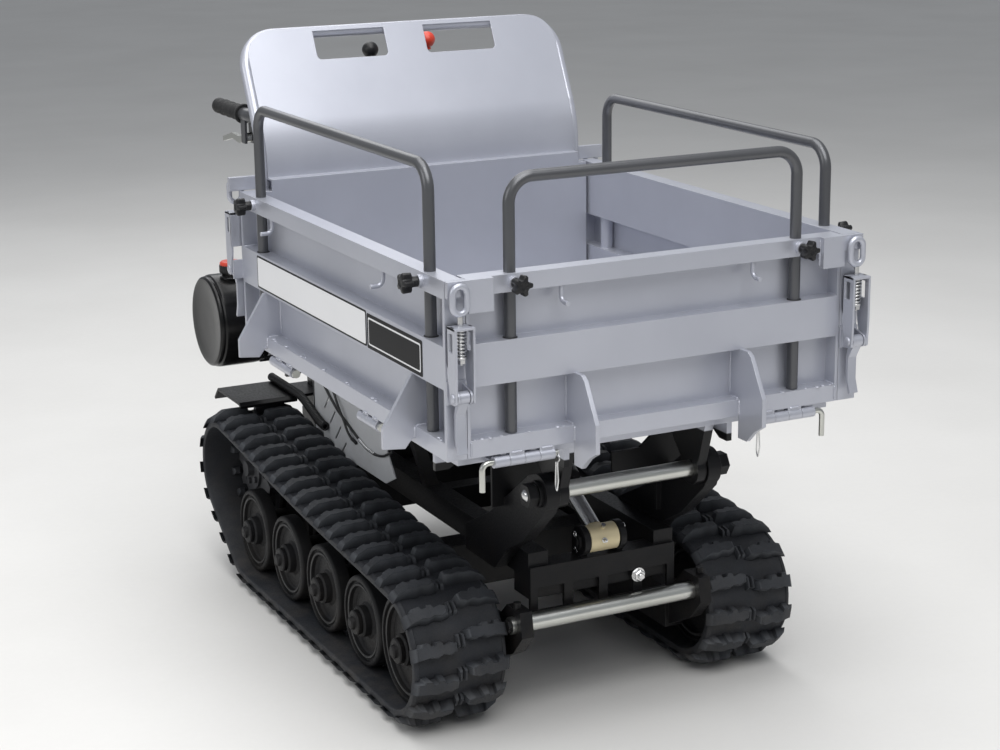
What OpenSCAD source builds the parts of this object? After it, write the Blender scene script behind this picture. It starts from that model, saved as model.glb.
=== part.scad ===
// Tracked power carrier: a petrol walk-behind dumper with a tipping, drop-sided bed on rubber tracks.
// Millimetres. Front (dump end) is -Y, the operator stands at +Y, the ground is Z = 0.
// Inside the modules Y is counted from the gate's front face; the last lines centre the machine on Y.

/* [Load bed] */
// Width across the ribs of the two side panels
bed_w = 802; // [760:2:840]
// Length of the side panels
bed_l = 952; // [930:2:990]
// Height of the panels
panel_h = 300; // [290:2:330]
// Height of the panels' lower edge above the ground
bed_z = 577; // [570:1:590]
// Depth of the rails and the pressed rib
rail = 30; // [28:1:34]
// Sheet thickness of the panels
sheet = 3; // [2:0.5:4]
// Height of the pressed rib
rib_h = 72; // [60:1:84]
// How far the gate's gussets stand out in front
gusset_reach = 72; // [60:1:90]

/* [Hoops] */
// Tube diameter of the load hoops
hoop_d = 20; // [16:1:22]
// Height of the side hoops above the top rails
hoop_rise = 172; // [140:2:200]
// Bend radius of the hoops
hoop_bend = 42; // [34:1:60]
// Length of the side hoops between their legs
hoop_l = 785; // [740:5:800]
// Width of the gate hoop between its legs
hoop_w = 554; // [500:2:570]

/* [Shield] */
// Height of the shield's top tube
shield_top = 1169; // [1120:1:1220]
// Lean of the shield's upper part in degrees
shield_lean = 26; // [18:1:32]
// Height where the shield starts to lean
shield_knee = 915; // [895:1:940]
// Tube radius of the shield's frame
shield_tube = 12; // [9:0.5:13]

/* [Tracks] */
// Width of a rubber track
track_w = 180; // [160:2:184]
// Distance between the two tracks
track_gap = 424; // [420:2:440]
// Pitch of the lugs, before it is rounded to fit the loop
lug_pitch = 60; // [54:1:72]
// Height of the lugs
lug_h = 22; // [16:1:26]
// Thickness of the belt under the lugs
belt_t = 14; // [10:1:16]
// Radius of the front idler
idler_r = 103; // [95:1:104]
// Radius of the road wheels
wheel_r = 89; // [80:1:91]
// Radius of the drive sprocket's path
sprocket_r = 99; // [95:1:104]
// Number of sprocket teeth
teeth = 11; // [9:1:13]

/* [Latches] */
// Width of a latch's loop and housing
latch_w = 36; // [32:1:36]
// Height of the latch pivot above the panels' lower edge
latch_pin = 113; // [108:1:118]
// Curls of a latch spring
spring_turns = 7; // [5:1:8]

/* [Tip gear] */
// Radius of the tip shaft
tip_r = 15; // [12:0.5:17]
// Radius of the hydraulic rod
rod_r = 15; // [11:0.5:17]
// Outer radius of the hydraulic barrel
barrel_r = 27; // [25:0.5:28]

/* [Handles] */
// Distance between the two grips
grip_gap = 600; // [540:5:640]
// Height of the handlebar
bar_z = 995; // [960:1:1010]
// Position of the grips' rear ends behind the gate
grip_end = 1352; // [1340:1:1390]

/* [Hidden] */
$fn = 48;
clear = 0.05;
gap = 0.3;
silver = [0.80, 0.81, 0.84];
grey = [0.30, 0.31, 0.32];
black = [0.10, 0.10, 0.11];
rubber = [0.14, 0.15, 0.17];
steel = [0.55, 0.56, 0.55];
red = [0.80, 0.16, 0.10];

// Bed
xo = bed_w / 2;
xi = xo - rail;
gate_x = xo - rail - 7.5;
post_x = gate_x + 1;
post_c = (post_x + xo) / 2;
top_z = bed_z + panel_h;
rail_lo = bed_z + rail;
rail_hi = top_z - rail;
rib_lo = bed_z + 0.4 * panel_h - 1;
rib_hi = rib_lo + rib_h;
plate_t = 8;
hinge_z = bed_z - 14;
hinge_y = 5;
hinge_r = 10;
pin_r = 5;
knuckle = 28;
floor_z = bed_z + 11;
floor_y = rail + sheet + 2;
frame_z = bed_z - 21;
gate_hinge_x = 204;
side_hinge = [[287, 371], [bed_l - 253, bed_l - 141]];
side_hinge_x = xo - 6;
gusset_x = 162;
knob_z = top_z - rail / 2;

// Hoops
hoop_r = hoop_d / 2;
leg_r = hoop_r + clear;
leg_z = rail_lo + 1;
hoop_shift = 1.5;
side_leg_y = (bed_l - hoop_l) / 2 + hoop_shift;
leg_x = xi + rail / 2;
leg_y = rail / 2;

// Shield
shield_x = gate_x - shield_tube - 2;
shield_y = bed_l + 2;
knee_r = 200;
corner_r = 70;
knee_y = shield_y + knee_r;
lean_y = knee_y - knee_r * cos(shield_lean);
lean_z = shield_knee + knee_r * sin(shield_lean);
lean_l = (shield_top - lean_z) / cos(shield_lean);
plate_r = 58;
sheet_w = shield_x - 5;
sheet_off = shield_tube + 0.9;
wall_z = min(top_z + 23, shield_knee - 10);

// Tracks
track_x = track_gap / 2 + track_w / 2;
base_z = belt_t + lug_h;
idler_c = [288, base_z + idler_r];
wheel_y = [484, 680, 875, 1071];
wheel_z = base_z + wheel_r;
drive_c = [1192, base_z + 189];
loop_c = [idler_c, [wheel_y[3], wheel_z], drive_c];
loop_r = [idler_r, wheel_r, sprocket_r];
axle_r = 15;
disc_in = 32;
disc_out = 60;
horn_h = 14;
belt_gap = 1.3;

// Tip gear
tip_c = [115, 455];
eye_c = [213, 316];
ram_a = 28.698;
ram_l = 393.99;
bed_pin_c = [560, 500];
eye_r = 25;
ram_eye_r = 25;
ram_bore = 15.5;

// Latches
latch_z = bed_z + latch_pin;
latch_v = 25;
latch_h = latch_w / 2;
cheek = 4;
house_z = top_z - 71;
keeper_z = top_z - 27;
loop_lo = top_z - 57;
loop_hi = top_z - 1;
rear_out = 20;
rear_up = 28;
spring_z0 = house_z - 49;
spring_z1 = house_z - 4.1;
spring_wire = 1.6;
spring_r = 8.2;

// Handles
bar_r = 14;
bar_y = 1112;
bar_bend = 50;
grip_r = 17;
post_bar_x = 186;

// Frame
rail_x0 = 110;
rail_x1 = 150;
rail_z0 = 262;
rail_z1 = 312;
beam_x0 = 165;
beam_x1 = 205;
arm_x0 = rail_x1;
arm_x1 = 176;
cover_t = 3;
cover_x = beam_x1 + 3.5;
tank_c = [1250, 548];
tank_r = 100;
mid_y = (grip_end - gusset_reach) / 2;

// Helpers

module along_x(x0, x1) {
  translate([x0, 0, 0]) rotate([90, 0, 90]) linear_extrude(height = x1 - x0) children();
}

module along_y(y0, y1) {
  translate([0, y1, 0]) rotate([90, 0, 0]) linear_extrude(height = y1 - y0) children();
}

module along_z(z0, z1) {
  translate([0, 0, z0]) linear_extrude(height = z1 - z0) children();
}

module box(a, b) {
  translate(a) cube(b - a);
}

module rod_x(r, x0, x1, y, z) {
  translate([x0, y, z]) rotate([0, 90, 0]) cylinder(r = r, h = x1 - x0);
}

module rod_y(r, y0, y1, x, z) {
  translate([x, y0, z]) rotate([-90, 0, 0]) cylinder(r = r, h = y1 - y0);
}

module rod_z(r, z0, z1, x, y) {
  translate([x, y, z0]) cylinder(r = r, h = z1 - z0);
}

module side(s) {
  if (s > 0) children();
  if (s < 0) mirror([1, 0, 0]) children();
}

module both() {
  children();
  mirror([1, 0, 0]) children();
}

// Quarter bend in the XZ plane, from +X to +Z about its centre
module bend_xz(big, small, angle = 90) {
  rotate([90, 0, 0]) rotate_extrude(angle = angle) translate([big, 0]) circle(small);
}

// Quarter bend in the XY plane
module bend_xy(big, small, angle = 90) {
  rotate_extrude(angle = angle) translate([big, 0]) circle(small);
}

// Quarter bend in the YZ plane, from +Y to +Z about its centre
module bend_yz(big, small, angle = 90) {
  rotate([90, 0, 90]) rotate_extrude(angle = angle) translate([big, 0]) circle(small);
}

// Closed tube through a list of rings of points
function rings_points(rings) = [for (ring = rings) for (p = ring) p];
function rings_faces(n, m) = concat(
  [[for (i = [m - 1 : -1 : 0]) i]],
  [for (k = [0 : n - 2]) for (i = [0 : m - 1])
    [k * m + i, k * m + (i + 1) % m, (k + 1) * m + (i + 1) % m]],
  [for (k = [0 : n - 2]) for (i = [0 : m - 1])
    [k * m + i, (k + 1) * m + (i + 1) % m, (k + 1) * m + i]],
  [[for (i = [0 : m - 1]) (n - 1) * m + i]]);

// Track loop: outward direction of each straight run, and a point at a distance along the loop

function run_dir(i) =
  let (a = loop_c[i], b = loop_c[(i + 1) % 3], d = b - a)
  atan2(d[1], d[0]) - 90 + asin((loop_r[i] - loop_r[(i + 1) % 3]) / norm(d));
run_n = [run_dir(0), run_dir(1), run_dir(2) + 360];
function run_len(i) =
  sqrt(pow(norm(loop_c[(i + 1) % 3] - loop_c[i]), 2) - pow(loop_r[i] - loop_r[(i + 1) % 3], 2));
function arc_turn(i) = (i == 0 ? run_n[0] + 360 - run_n[2] : run_n[i] - run_n[i - 1]);
function arc_len(i) = (loop_r[i] + belt_t) * arc_turn(i) * PI / 180;
// Six stretches: run 0, arc 1, run 1, arc 2, run 2, arc 0
stretch = [run_len(0), arc_len(1), run_len(1), arc_len(2), run_len(2), arc_len(0)];
ends = [for (i = [0 : 5]) [for (k = [0 : i]) stretch[k]] * [for (k = [0 : i]) 1]];
loop_len = ends[5];
lugs = round(loop_len / lug_pitch);
pitch = loop_len / lugs;
function dir(a) = [cos(a), sin(a)];
function on_run(i, s, e) =
  loop_c[i] + (loop_r[i] + e) * dir(run_n[i]) + s * dir(run_n[i] + 90);
function on_arc(i, from, s, e) =
  loop_c[i] + (loop_r[i] + e) * dir(from + s / (loop_r[i] + belt_t) * 180 / PI);
function loop_wrap(s) = s - loop_len * floor(s / loop_len);
function loop_at(q, e) =
  let (s = loop_wrap(q))
  s <= ends[0] ? on_run(0, s, e) :
  s <= ends[1] ? on_arc(1, run_n[0], s - ends[0], e) :
  s <= ends[2] ? on_run(1, s - ends[1], e) :
  s <= ends[3] ? on_arc(2, run_n[1], s - ends[2], e) :
  s <= ends[4] ? on_run(2, s - ends[3], e) : on_arc(0, run_n[2], s - ends[4], e);
// Toothed line: share of the pitch taken by foot and crest of a tooth of height h on offset e
function toothed(e, h, phase, foot, crest) =
  [for (k = [0 : lugs - 1]) for (t = [[-foot, 0], [-crest, h], [crest, h], [foot, 0]])
    loop_at((k + phase + t[0]) * pitch, e + t[1])];
function plain(e) = [for (k = [0 : 2 * lugs - 1]) loop_at(k * pitch / 2, e)];

module belt_zone(x0, x1, h, phase, horn) {
  along_x(x0, x1) difference() {
    polygon(toothed(belt_t, h, phase, 0.30, 0.17));
    polygon(horn ? toothed(0, -horn_h, 0, 0.2, 0.12) : plain(0));
  }
}

module belt() {
  half = track_w / 2;
  translate([track_x, 0, 0]) {
    belt_zone(-half, -28, lug_h, 0.0, false);
    belt_zone(-28, -12, lug_h, 0.0, true);
    belt_zone(-12, 12, lug_h * 0.55, 0.14, false);
    belt_zone(12, 28, lug_h, 0.28, true);
    belt_zone(28, half, lug_h, 0.28, false);
  }
}

// Wheel turned about X: profile points are [radius, x]
module turned(c, pts) {
  translate([track_x, c[0], c[1]]) rotate([0, 90, 0]) rotate_extrude() polygon(pts);
}

// Road wheel or idler: two dished discs pressed against a hub sleeve
module twin_wheel(c, r) {
  rim = r - 13;
  hub = 34;
  bore = axle_r + clear;
  for (s = [-1, 1])
    turned(c, [[bore, s * disc_in], [r, s * disc_in], [r, s * (disc_out - 3)], [r - 3, s * disc_out],
      [rim, s * disc_out], [rim, s * (disc_out - 14)], [hub, s * (disc_out - 14)], [hub, s * (disc_out + 6)],
      [bore, s * (disc_out + 6)]]);
  sleeve = disc_in - clear;
  turned(c, [[bore, -sleeve], [hub + 8, -sleeve], [hub + 8, sleeve], [bore, sleeve]]);
}

module road_wheel(s, k) color(black) side(s) twin_wheel([wheel_y[k - 1], wheel_z], wheel_r - belt_gap);

module idler(s) color(black) side(s) twin_wheel(idler_c, idler_r - belt_gap);

module sprocket_body() {
  root = sprocket_r - 22;
  tip = sprocket_r - 2;
  step = 360 / teeth;
  translate([0, drive_c[0], drive_c[1]]) difference() {
    union() {
      along_x(track_x - 10, track_x + 10)
        polygon([for (k = [0 : teeth - 1]) for (t = [[-0.34, root], [-0.13, tip], [0.13, tip], [0.34, root]])
          (t[1]) * dir((k + t[0]) * step)]);
      rod_x(46, track_x - 34, track_x + 16, 0, 0);
      rod_x(17, 96, track_x + 30, 0, 0);
      for (k = [0 : 4]) rod_x(7, track_x + 15, track_x + 22, 33 * cos(72 * k), 33 * sin(72 * k));
    }
    for (k = [0 : 4])
      rod_x(9, track_x - 11, track_x + 11, 60 * cos(72 * k + 36), 60 * sin(72 * k + 36));
  }
}

// Chassis

module main_frame() color(black) {
  both() box([rail_x0, 240, rail_z0], [rail_x1, 1296, rail_z1]);
  box([-rail_x1, 205, 225], [rail_x1, 240, 286]);
  both() box([rail_x0, 205, 225], [rail_x1, 262, rail_z1]);
  box([-rail_x0, 610, rail_z0], [rail_x0, 650, rail_z1]);
  box([-rail_x0, 985, rail_z0], [rail_x0, 1003, rail_z1]);
  box([-rail_x1, 1280, rail_z0], [rail_x1, 1312, rail_z1]);
  both() box([rail_x1, 1085, rail_z0], [post_bar_x + 20, 1139, rail_z1]);
  both() along_x(arm_x0, arm_x1) difference() {
    union() {
      translate(tip_c) circle(34);
      polygon([[82, 462], [128, 487], [150, 479], [190, 450], [310, 364], [410, rail_z1], [410, rail_z0],
        [290, rail_z0], [236, 316], [176, 350], [96, 422]]);
    }
    translate(tip_c) circle(tip_r + gap);
  }
  both() along_x(31, 43) difference() {
    union() {
      translate(eye_c) circle(27);
      polygon([[206, 280], [240, 280], [239, 322], [190, 330]]);
    }
    translate(eye_c) circle(10 + gap);
  }
  both() along_y(246, 252)
    polygon([[46, 395], [140, 395], [140, 336], [arm_x1, 336], [arm_x1, 395], [200, 395], [200, 484],
      [130, 484], [104, 462], [46, 462]]);
  along_y(197, 205) difference() {
    polygon([[-150, 190], [150, 190], [150, 286], [-150, 286]]);
    for (k = [-1.5 : 1 : 1.5]) translate([k * 72 - 27, 202]) square([54, 44]);
  }
  both() box([rail_x0, 1020, rail_z1], [rail_x1, 1060, rail_z1 + 16]);
  both() box([rail_x0, 1150, rail_z1], [rail_x1, 1190, rail_z1 + 16]);
  for (y = [430, 930]) box([-beam_x1, y, 176], [beam_x1, y + 60, rail_z0]);
}

module track_frames() color(black) both() {
  difference() {
    union() {
      box([beam_x0, 252, 95], [beam_x1, 1130, 176]);
      along_x(beam_x0 + 8, beam_x1 - 8)
        polygon([[252, 176], [252, 100], [176, 140], [140, 180], [148, 226], [200, 226]]);
    }
    rod_x(16 + gap, beam_x0 - 1, beam_x1 + 1, 174, 195);
  }
  for (c = concat([idler_c], [for (y = wheel_y) [y, wheel_z]])) {
    rod_x(axle_r, beam_x1, track_x + 68, c[0], c[1]);
    rod_x(24, track_x + 67, track_x + 74, c[0], c[1]);
    rod_x(26, beam_x1, track_x - 67, c[0], c[1]);
  }
}

module front_shafts() color(steel) {
  rod_x(tip_r, -184, 184, tip_c[0], tip_c[1]);
  rod_x(16, -beam_x1, beam_x1, 174, 195);
}

module hex_x(r, x0, x1, y, z) {
  along_x(x0, x1) translate([y, z]) circle(r, $fn = 6);
}

module frame_fasteners() color(steel) {
  both() {
    difference() {
      hex_x(22, arm_x1 + 8, arm_x1 + 26, tip_c[0], tip_c[1]);
      rod_x(tip_r + gap, arm_x1, 184.5, tip_c[0], tip_c[1]);
    }
    difference() {
      rod_x(24, arm_x1 + gap, arm_x1 + 7, tip_c[0], tip_c[1]);
      rod_x(tip_r + gap, arm_x1 - 1, arm_x1 + 9, tip_c[0], tip_c[1]);
    }
    rod_z(7, 226.3, 238, 190, 172);
    hex_x(12, beam_x1 + gap, beam_x1 + 6, 174, 195);
  }
  rod_x(10, -52, 52, eye_c[0], eye_c[1]);
  both() rod_x(16, 44, 49, eye_c[0], eye_c[1]);
}

// Side cover with a ladder of slanted slots, held off the rail by two flat stays
module side_covers() color([0.62, 0.63, 0.64]) {
  both() {
    along_x(cover_x - cover_t, cover_x) difference() {
      polygon([[660, 333], [692, 372], [704, 385], [704, 440], [636, 480], [636, 528], [1080, 528],
        [1080, 306], [707, 310]]);
      for (k = [0 : 3])
        translate([1010 - 28 * k, 404 - 27 * k]) rotate(-47) square([48, 5], center = true);
    }
    for (y = [[640, 660], [986, 1000]]) along_y(y[0], y[1])
      polygon([[rail_x1 - 28, rail_z1], [rail_x1, rail_z1], [cover_x - cover_t - gap, 500],
        [cover_x - cover_t - gap, 520], [cover_x - cover_t - 14, 520]]);
  }
  mirror([1, 0, 0]) box([cover_x - 1, 1062, 452], [cover_x + 7, 1074, 496]);
}

module rear_fenders() color(black) both() {
  along_x(track_gap / 2 + 2, track_gap / 2 + track_w - 48)
    polygon([[1170, 372], [1180, 378], [1318, 378], [1344, 352], [1340, 348], [1316, 372], [1182, 372],
      [1172, 366]]);
  box([rail_x1, 1200, 366], [track_gap / 2 + 3, 1300, 372]);
  box([rail_x1 - 8, 1200, rail_z1], [rail_x1, 1300, 372]);
}

module engine_block() color([0.34, 0.34, 0.35]) {
  box([-100, 1012, rail_z1 + 16], [100, 1180, rail_z1 + 130]);
  both() box([99, 1020, rail_z1 + 16], [rail_x1, 1060, rail_z1 + 28]);
  both() box([99, 1150, rail_z1 + 16], [rail_x1, 1180, rail_z1 + 28]);
  for (k = [0 : 6]) box([-70, 1030, rail_z1 + 140 + 13 * k], [64, 1130, rail_z1 + 146 + 13 * k]);
  box([-52, 1048, rail_z1 + 129], [46, 1112, rail_z1 + 240]);
  rod_x(14, -150, -99, 1100, rail_z1 + 70);
}

module engine_cowl() color(black) {
  rod_x(92, 100 + gap, 148, 1100, rail_z1 + 112);
  rod_x(64, 147, 172, 1100, rail_z1 + 112);
  difference() {
    box([-92, 1016, rail_z1 + 262], [140, 1176, rail_z1 + 340]);
    for (s = [-1, 1]) translate([24, 1096 + 80 * s, rail_z1 + 340]) rotate([45, 0, 0])
      cube([300, 24, 24], center = true);
  }
  rod_z(22, rail_z1 + 339, rail_z1 + 356, 40, 1096);
  box([104, 1070, rail_z1 + 150], [132, 1122, rail_z1 + 263]);
}

module muffler() color([0.24, 0.23, 0.22]) {
  rod_y(44, 1030, 1150, -126, rail_z1 + 190);
  rod_y(12, 1149, 1190, -126, rail_z1 + 206);
  box([-84, 1060, rail_z1 + 231], [-52.3, 1100, rail_z1 + 239]);
  box([-110, 1060, rail_z1 + 225], [-83, 1100, rail_z1 + 239]);
}

module gearbox() color([0.36, 0.37, 0.38]) difference() {
  union() {
    box([-92, 1112, drive_c[1] - 74], [92, 1268, drive_c[1] + 70]);
    both() rod_x(36, 91, 150, drive_c[0], drive_c[1]);
    both() rod_x(30, 149, 196, drive_c[0], drive_c[1]);
    box([-60, 1130, drive_c[1] + 69], [60, 1160, rail_z0 + 48]);
    both() box([88, 1244, drive_c[1] + 30], [rail_x0, 1262, rail_z1 - 6]);
  }
  both() rod_x(17 + clear, 95.5, 200, drive_c[0], drive_c[1]);
}

module valve_block() color([0.50, 0.51, 0.52]) {
  box([56, 1128, 796], [150, 1216, 846]);
  for (k = [0 : 2]) rod_y(9, 1215, 1232, 82 + 24 * k, 820);
  rod_z(12, 770, 797, 72, 1188.4);
  rod_z(12, 770, 797, 130, 1201);
}

module oil_tank() color(black) {
  rod_x(tank_r, -375, -275, tank_c[0], tank_c[1]);
  translate([-385, tank_c[0], tank_c[1]]) rotate([0, 90, 0]) cylinder(r1 = tank_r - 12, r2 = tank_r, h = 10);
  translate([-275, tank_c[0], tank_c[1]]) rotate([0, 90, 0]) cylinder(r1 = tank_r, r2 = tank_r - 14, h = 12);
  rod_z(27, tank_c[1] + 80, tank_c[1] + 112, -330, tank_c[0] - 18);
  box([-276, 1226, 450], [-rail_x1 + 8, 1274, 462]);
  box([-rail_x1, 1226, rail_z1 + 60.3], [-rail_x1 + 8, 1274, 462]);
}

module oil_tank_cap() color(red) difference() {
  union() {
    rod_z(33, tank_c[1] + 106, tank_c[1] + 130, -330, tank_c[0] - 18);
    for (k = [0 : 11]) rod_z(3.5, tank_c[1] + 106, tank_c[1] + 127,
      -330 + 32.5 * cos(30 * k), tank_c[0] - 18 + 32.5 * sin(30 * k));
  }
  rod_z(27.3, tank_c[1] + 105, tank_c[1] + 113, -330, tank_c[0] - 18);
}

// Ribbed conduit in the YZ plane: it rises along the right cover in a smooth step and lies on the rear fender
hose_r = 9.5;
hose_x = -cover_x - hose_r - gap;
hose_y0 = 1000;
hose_y1 = 1316;
hose_z1 = 378 + hose_r + gap;
hose_rise = 34;
hose_step = 0.5;
hose_ribs = 56;
function hose_u(t) = max(0, min(1, t / hose_step));
function hose_z(t) = hose_z1 - hose_rise + hose_rise * (3 * pow(hose_u(t), 2) - 2 * pow(hose_u(t), 3));
function hose_y(t) = hose_y0 + (hose_y1 - hose_y0) * t;
function hose_slope(t) =
  atan2(hose_rise * 6 * (hose_u(t) - pow(hose_u(t), 2)) / hose_step, hose_y1 - hose_y0);
function hose_ring(t, r) = [for (i = [0 : 7]) let (b = 45 * i)
  [hose_x + r * cos(b), hose_y(t) - r * sin(b) * sin(hose_slope(t)),
    hose_z(t) + r * sin(b) * cos(hose_slope(t))]];
hose_outer = [for (k = [0 : 2 * hose_ribs]) hose_ring(k / (2 * hose_ribs), k % 2 == 0 ? hose_r : hose_r - 2)];
hose_inner = [for (k = [0 : 16]) hose_ring(-0.01 + 1.02 * k / 16, 5)];

// Two control cables laid on the right cover: a smooth line through points chosen by hand
cable_r = 2.5;
cable_x = -cover_x - cable_r - gap;
over_x = cable_x - 2 * cable_r - 0.8;
cable_a = [
  [cable_x, 1060, 463], [cable_x, 1020, 440], [cable_x, 977, 417], [cable_x, 940, 400], [cable_x, 897, 387],
  [cable_x, 865, 377], [cable_x, 833, 368], [cable_x, 796, 360], [cable_x, 755, 358], [cable_x, 715, 365],
  [cable_x, 690, 375], [-205, 677, 383]];
cable_b = [[cable_x, 1060, 490], [cable_x, 1005, 463], [cable_x - 1, 965, 440], [cable_x - 4, 942, 426],
  [over_x, 919, 409], [over_x, 897, 391], [over_x, 880, 374], [cable_x - 3, 866, 362], [cable_x, 848, 356]];
cable_steps = 3;
function curve_at(p, k, t) =
  let (a = p[max(k - 1, 0)], b = p[k], c = p[k + 1], d = p[min(k + 2, len(p) - 1)])
  0.5 * (2 * b + (c - a) * t + (2 * a - 5 * b + 4 * c - d) * t * t + (3 * b - a - 3 * c + d) * t * t * t);
function curve(p) = concat(
  [for (k = [0 : len(p) - 2]) for (i = [0 : cable_steps - 1]) curve_at(p, k, i / cable_steps)],
  [p[len(p) - 1]]);
function unit(v) = v / norm(v);
function tube_ring(q, k, r) =
  let (t = unit(q[min(k + 1, len(q) - 1)] - q[max(k - 1, 0)]), u = unit(cross([1, 0, 0], t)), v = cross(t, u))
  [for (i = [0 : 7]) q[k] + r * (cos(45 * i) * u - sin(45 * i) * v)];

module cable(p) {
  q = curve(p);
  polyhedron(points = rings_points([for (k = [0 : len(q) - 1]) tube_ring(q, k, cable_r)]),
    faces = rings_faces(len(q), 8));
}

module hydraulic_hoses() color(black) {
  difference() {
    polyhedron(points = rings_points(hose_outer), faces = rings_faces(2 * hose_ribs + 1, 8));
    polyhedron(points = rings_points(hose_inner), faces = rings_faces(17, 8));
  }
  cable(cable_a);
  cable(cable_b);
  rod_y(7, 670, 980, 130, rail_z1 + 7.3);
  rod_z(8, 330, 769.7, 72, 1188.4);
  rod_z(8, rail_z1 + gap, 769.7, 130, 1201);
}

module handlebar() color(grey) {
  gx = grip_gap / 2;
  rod_x(bar_r, -gx + bar_bend, gx - bar_bend, bar_y, bar_z);
  both() {
    translate([gx - bar_bend, bar_y + bar_bend, bar_z]) rotate([0, 0, -90]) bend_xy(bar_bend, bar_r);
    rod_y(bar_r, bar_y + bar_bend, grip_end - 20, gx, bar_z);
    rod_z(13, rail_z1, bar_z - 5, post_bar_x, bar_y);
    for (x = [gx - 11, gx + 6]) along_x(x, x + 5)
      polygon([[1158, bar_z - 8], [1184, bar_z - 8], [1182, bar_z - 58], [1160, bar_z - 58]]);
    rod_x(4, gx - 7, gx + 7, 1171, bar_z - 46);
  }
}

module handle_grips() color([0.07, 0.07, 0.07]) both() difference() {
  union() {
    rod_y(grip_r, 1196, grip_end, grip_gap / 2, bar_z);
    rod_y(grip_r + 4, 1190, 1197, grip_gap / 2, bar_z);
  }
  rod_y(bar_r + 0.2, 1189, grip_end - 18, grip_gap / 2, bar_z);
}

module control_console() color(black) {
  difference() {
    union() {
      box([-172, 1100, 850], [172, 1196, 930]);
      along_x(-172, 172) polygon([[1127, 929], [1196, 929], [1196, 945], [1127, 968]]);
    }
    box([99, 1135, 840], [117, 1185, 980]);
    box([-33, 1135, 840], [-15, 1185, 980]);
    both() rod_z(13 + gap, 840, 980, post_bar_x, bar_y);
  }
  box([64, 1128, 846], [98, 1188, 851]);
  box([118, 1128, 846], [150, 1188, 851]);
  rod_x(4, 98, 118, 1160, 880);
  rod_x(4, -34, -14, 1160, 880);
}

module stick(x, z1) {
  difference() {
    union() {
      rod_x(11, x - 6, x + 6, 1160, 880);
      rod_z(6, 888, z1 - 20, x, 1160);
    }
    rod_x(4 + clear, x - 7, x + 7, 1160, 880);
  }
  translate([x, 1160, z1 - 18]) sphere(18);
}

module tip_lever() color(red) stick(108, 1146);

module gear_lever() color([0.08, 0.08, 0.08]) stick(-24, 1132);

module steering_lever() color(steel) difference() {
  union() {
    rod_x(10, grip_gap / 2 - 5, grip_gap / 2 + 5, 1171, bar_z - 46);
    along_x(grip_gap / 2 - 5, grip_gap / 2 + 5)
      polygon([[1171, bar_z - 38], [1181, bar_z - 41], [1215, bar_z - 50], [1260, bar_z - 47],
        [1318, bar_z - 62],
        [1318, bar_z - 72], [1258, bar_z - 59], [1212, bar_z - 64], [1171, bar_z - 54]]);
  }
  rod_x(4 + clear, grip_gap / 2 - 6, grip_gap / 2 + 6, 1171, bar_z - 46);
}

// Bed

module bed_floor() color(silver) {
  fx = xi - sheet - 2;
  floor_e = bed_l - rail - sheet;
  box([-fx, floor_y, floor_z - sheet], [fx, floor_e, floor_z]);
  difference() {
    box([-fx, floor_y, frame_z], [fx, floor_e, floor_z - sheet + 0.5]);
    box([-fx + 40, floor_y + 40, frame_z - 1], [fx - 40, floor_e - 40, floor_z - sheet]);
  }
  both() box([128, floor_y + 20, frame_z], [148, floor_e - 20, floor_z - 1]);
  box([-fx + 20, 540, frame_z], [fx - 20, 580, floor_z - 1]);
  both() along_x(130, arm_x0 - 2) difference() {
    union() {
      translate(tip_c) circle(30);
      polygon([[60, frame_z + 4], [88, tip_c[1] + 12], [142, tip_c[1] + 12], [230, frame_z + 4]]);
    }
    translate(tip_c) circle(tip_r + clear);
  }
  both() along_x(30, 42) difference() {
    union() {
      translate(bed_pin_c) circle(22);
      polygon([[525, frame_z + 4], [540, bed_pin_c[1] + 4], [580, bed_pin_c[1] + 4], [600, frame_z + 4]]);
    }
    translate(bed_pin_c) circle(9 + gap);
  }
  both() for (k = [1, 3]) {
    a = gate_hinge_x + knuckle * k + gap;
    b = gate_hinge_x + knuckle * (k + 1) - gap;
    difference() {
      union() {
        rod_x(hinge_r, a, b, hinge_y, hinge_z);
        box([a, hinge_y, frame_z], [b, floor_y + 4, hinge_z + 2]);
      }
      rod_x(pin_r + clear, a - 1, b + 1, hinge_y, hinge_z);
    }
  }
  both() for (h = side_hinge) for (k = [1, 3]) {
    a = h[0] + (h[1] - h[0]) / 4 * k + gap;
    b = h[0] + (h[1] - h[0]) / 4 * (k + 1) - gap;
    difference() {
      union() {
        rod_y(hinge_r, a, b, side_hinge_x, hinge_z);
        box([fx - 4, a, frame_z], [side_hinge_x, b, hinge_z + 2]);
      }
      rod_y(pin_r + clear, a - 1, b + 1, side_hinge_x, hinge_z);
    }
  }
  both() along_x(gusset_x - 5, gusset_x + 5)
    polygon([[floor_y + 1, frame_z + 2], [floor_y + 1, frame_z - 34], [floor_y + 26, frame_z - 34],
      [floor_y + 90, frame_z + 2]]);
  both() for (y = [130, bed_l - 122]) along_y(y - 5, y + 5)
    polygon([[fx - 1, frame_z + 2], [fx - 1, frame_z - 34], [fx - 26, frame_z - 34], [fx - 80, frame_z + 2]]);
}

module hinge_pins() color(steel) {
  both() {
    x0 = gate_hinge_x - 8;
    x1 = gate_hinge_x + 4 * knuckle + 8;
    rod_x(pin_r, x0, x1, hinge_y, hinge_z);
    translate([x1, hinge_y, hinge_z - 12]) bend_xz(12, pin_r);
    rod_z(pin_r, hinge_z - 48, hinge_z - 12, x1 + 12, hinge_y);
    for (h = side_hinge) {
      rod_y(pin_r, h[0] - 6, h[1] + 4, side_hinge_x, hinge_z);
      rod_y(8, h[0] - 10, h[0] - 5, side_hinge_x, hinge_z);
    }
  }
  rod_x(9, -48, 48, bed_pin_c[0], bed_pin_c[1]);
  both() rod_x(14, 43, 49, bed_pin_c[0], bed_pin_c[1]);
}

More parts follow.
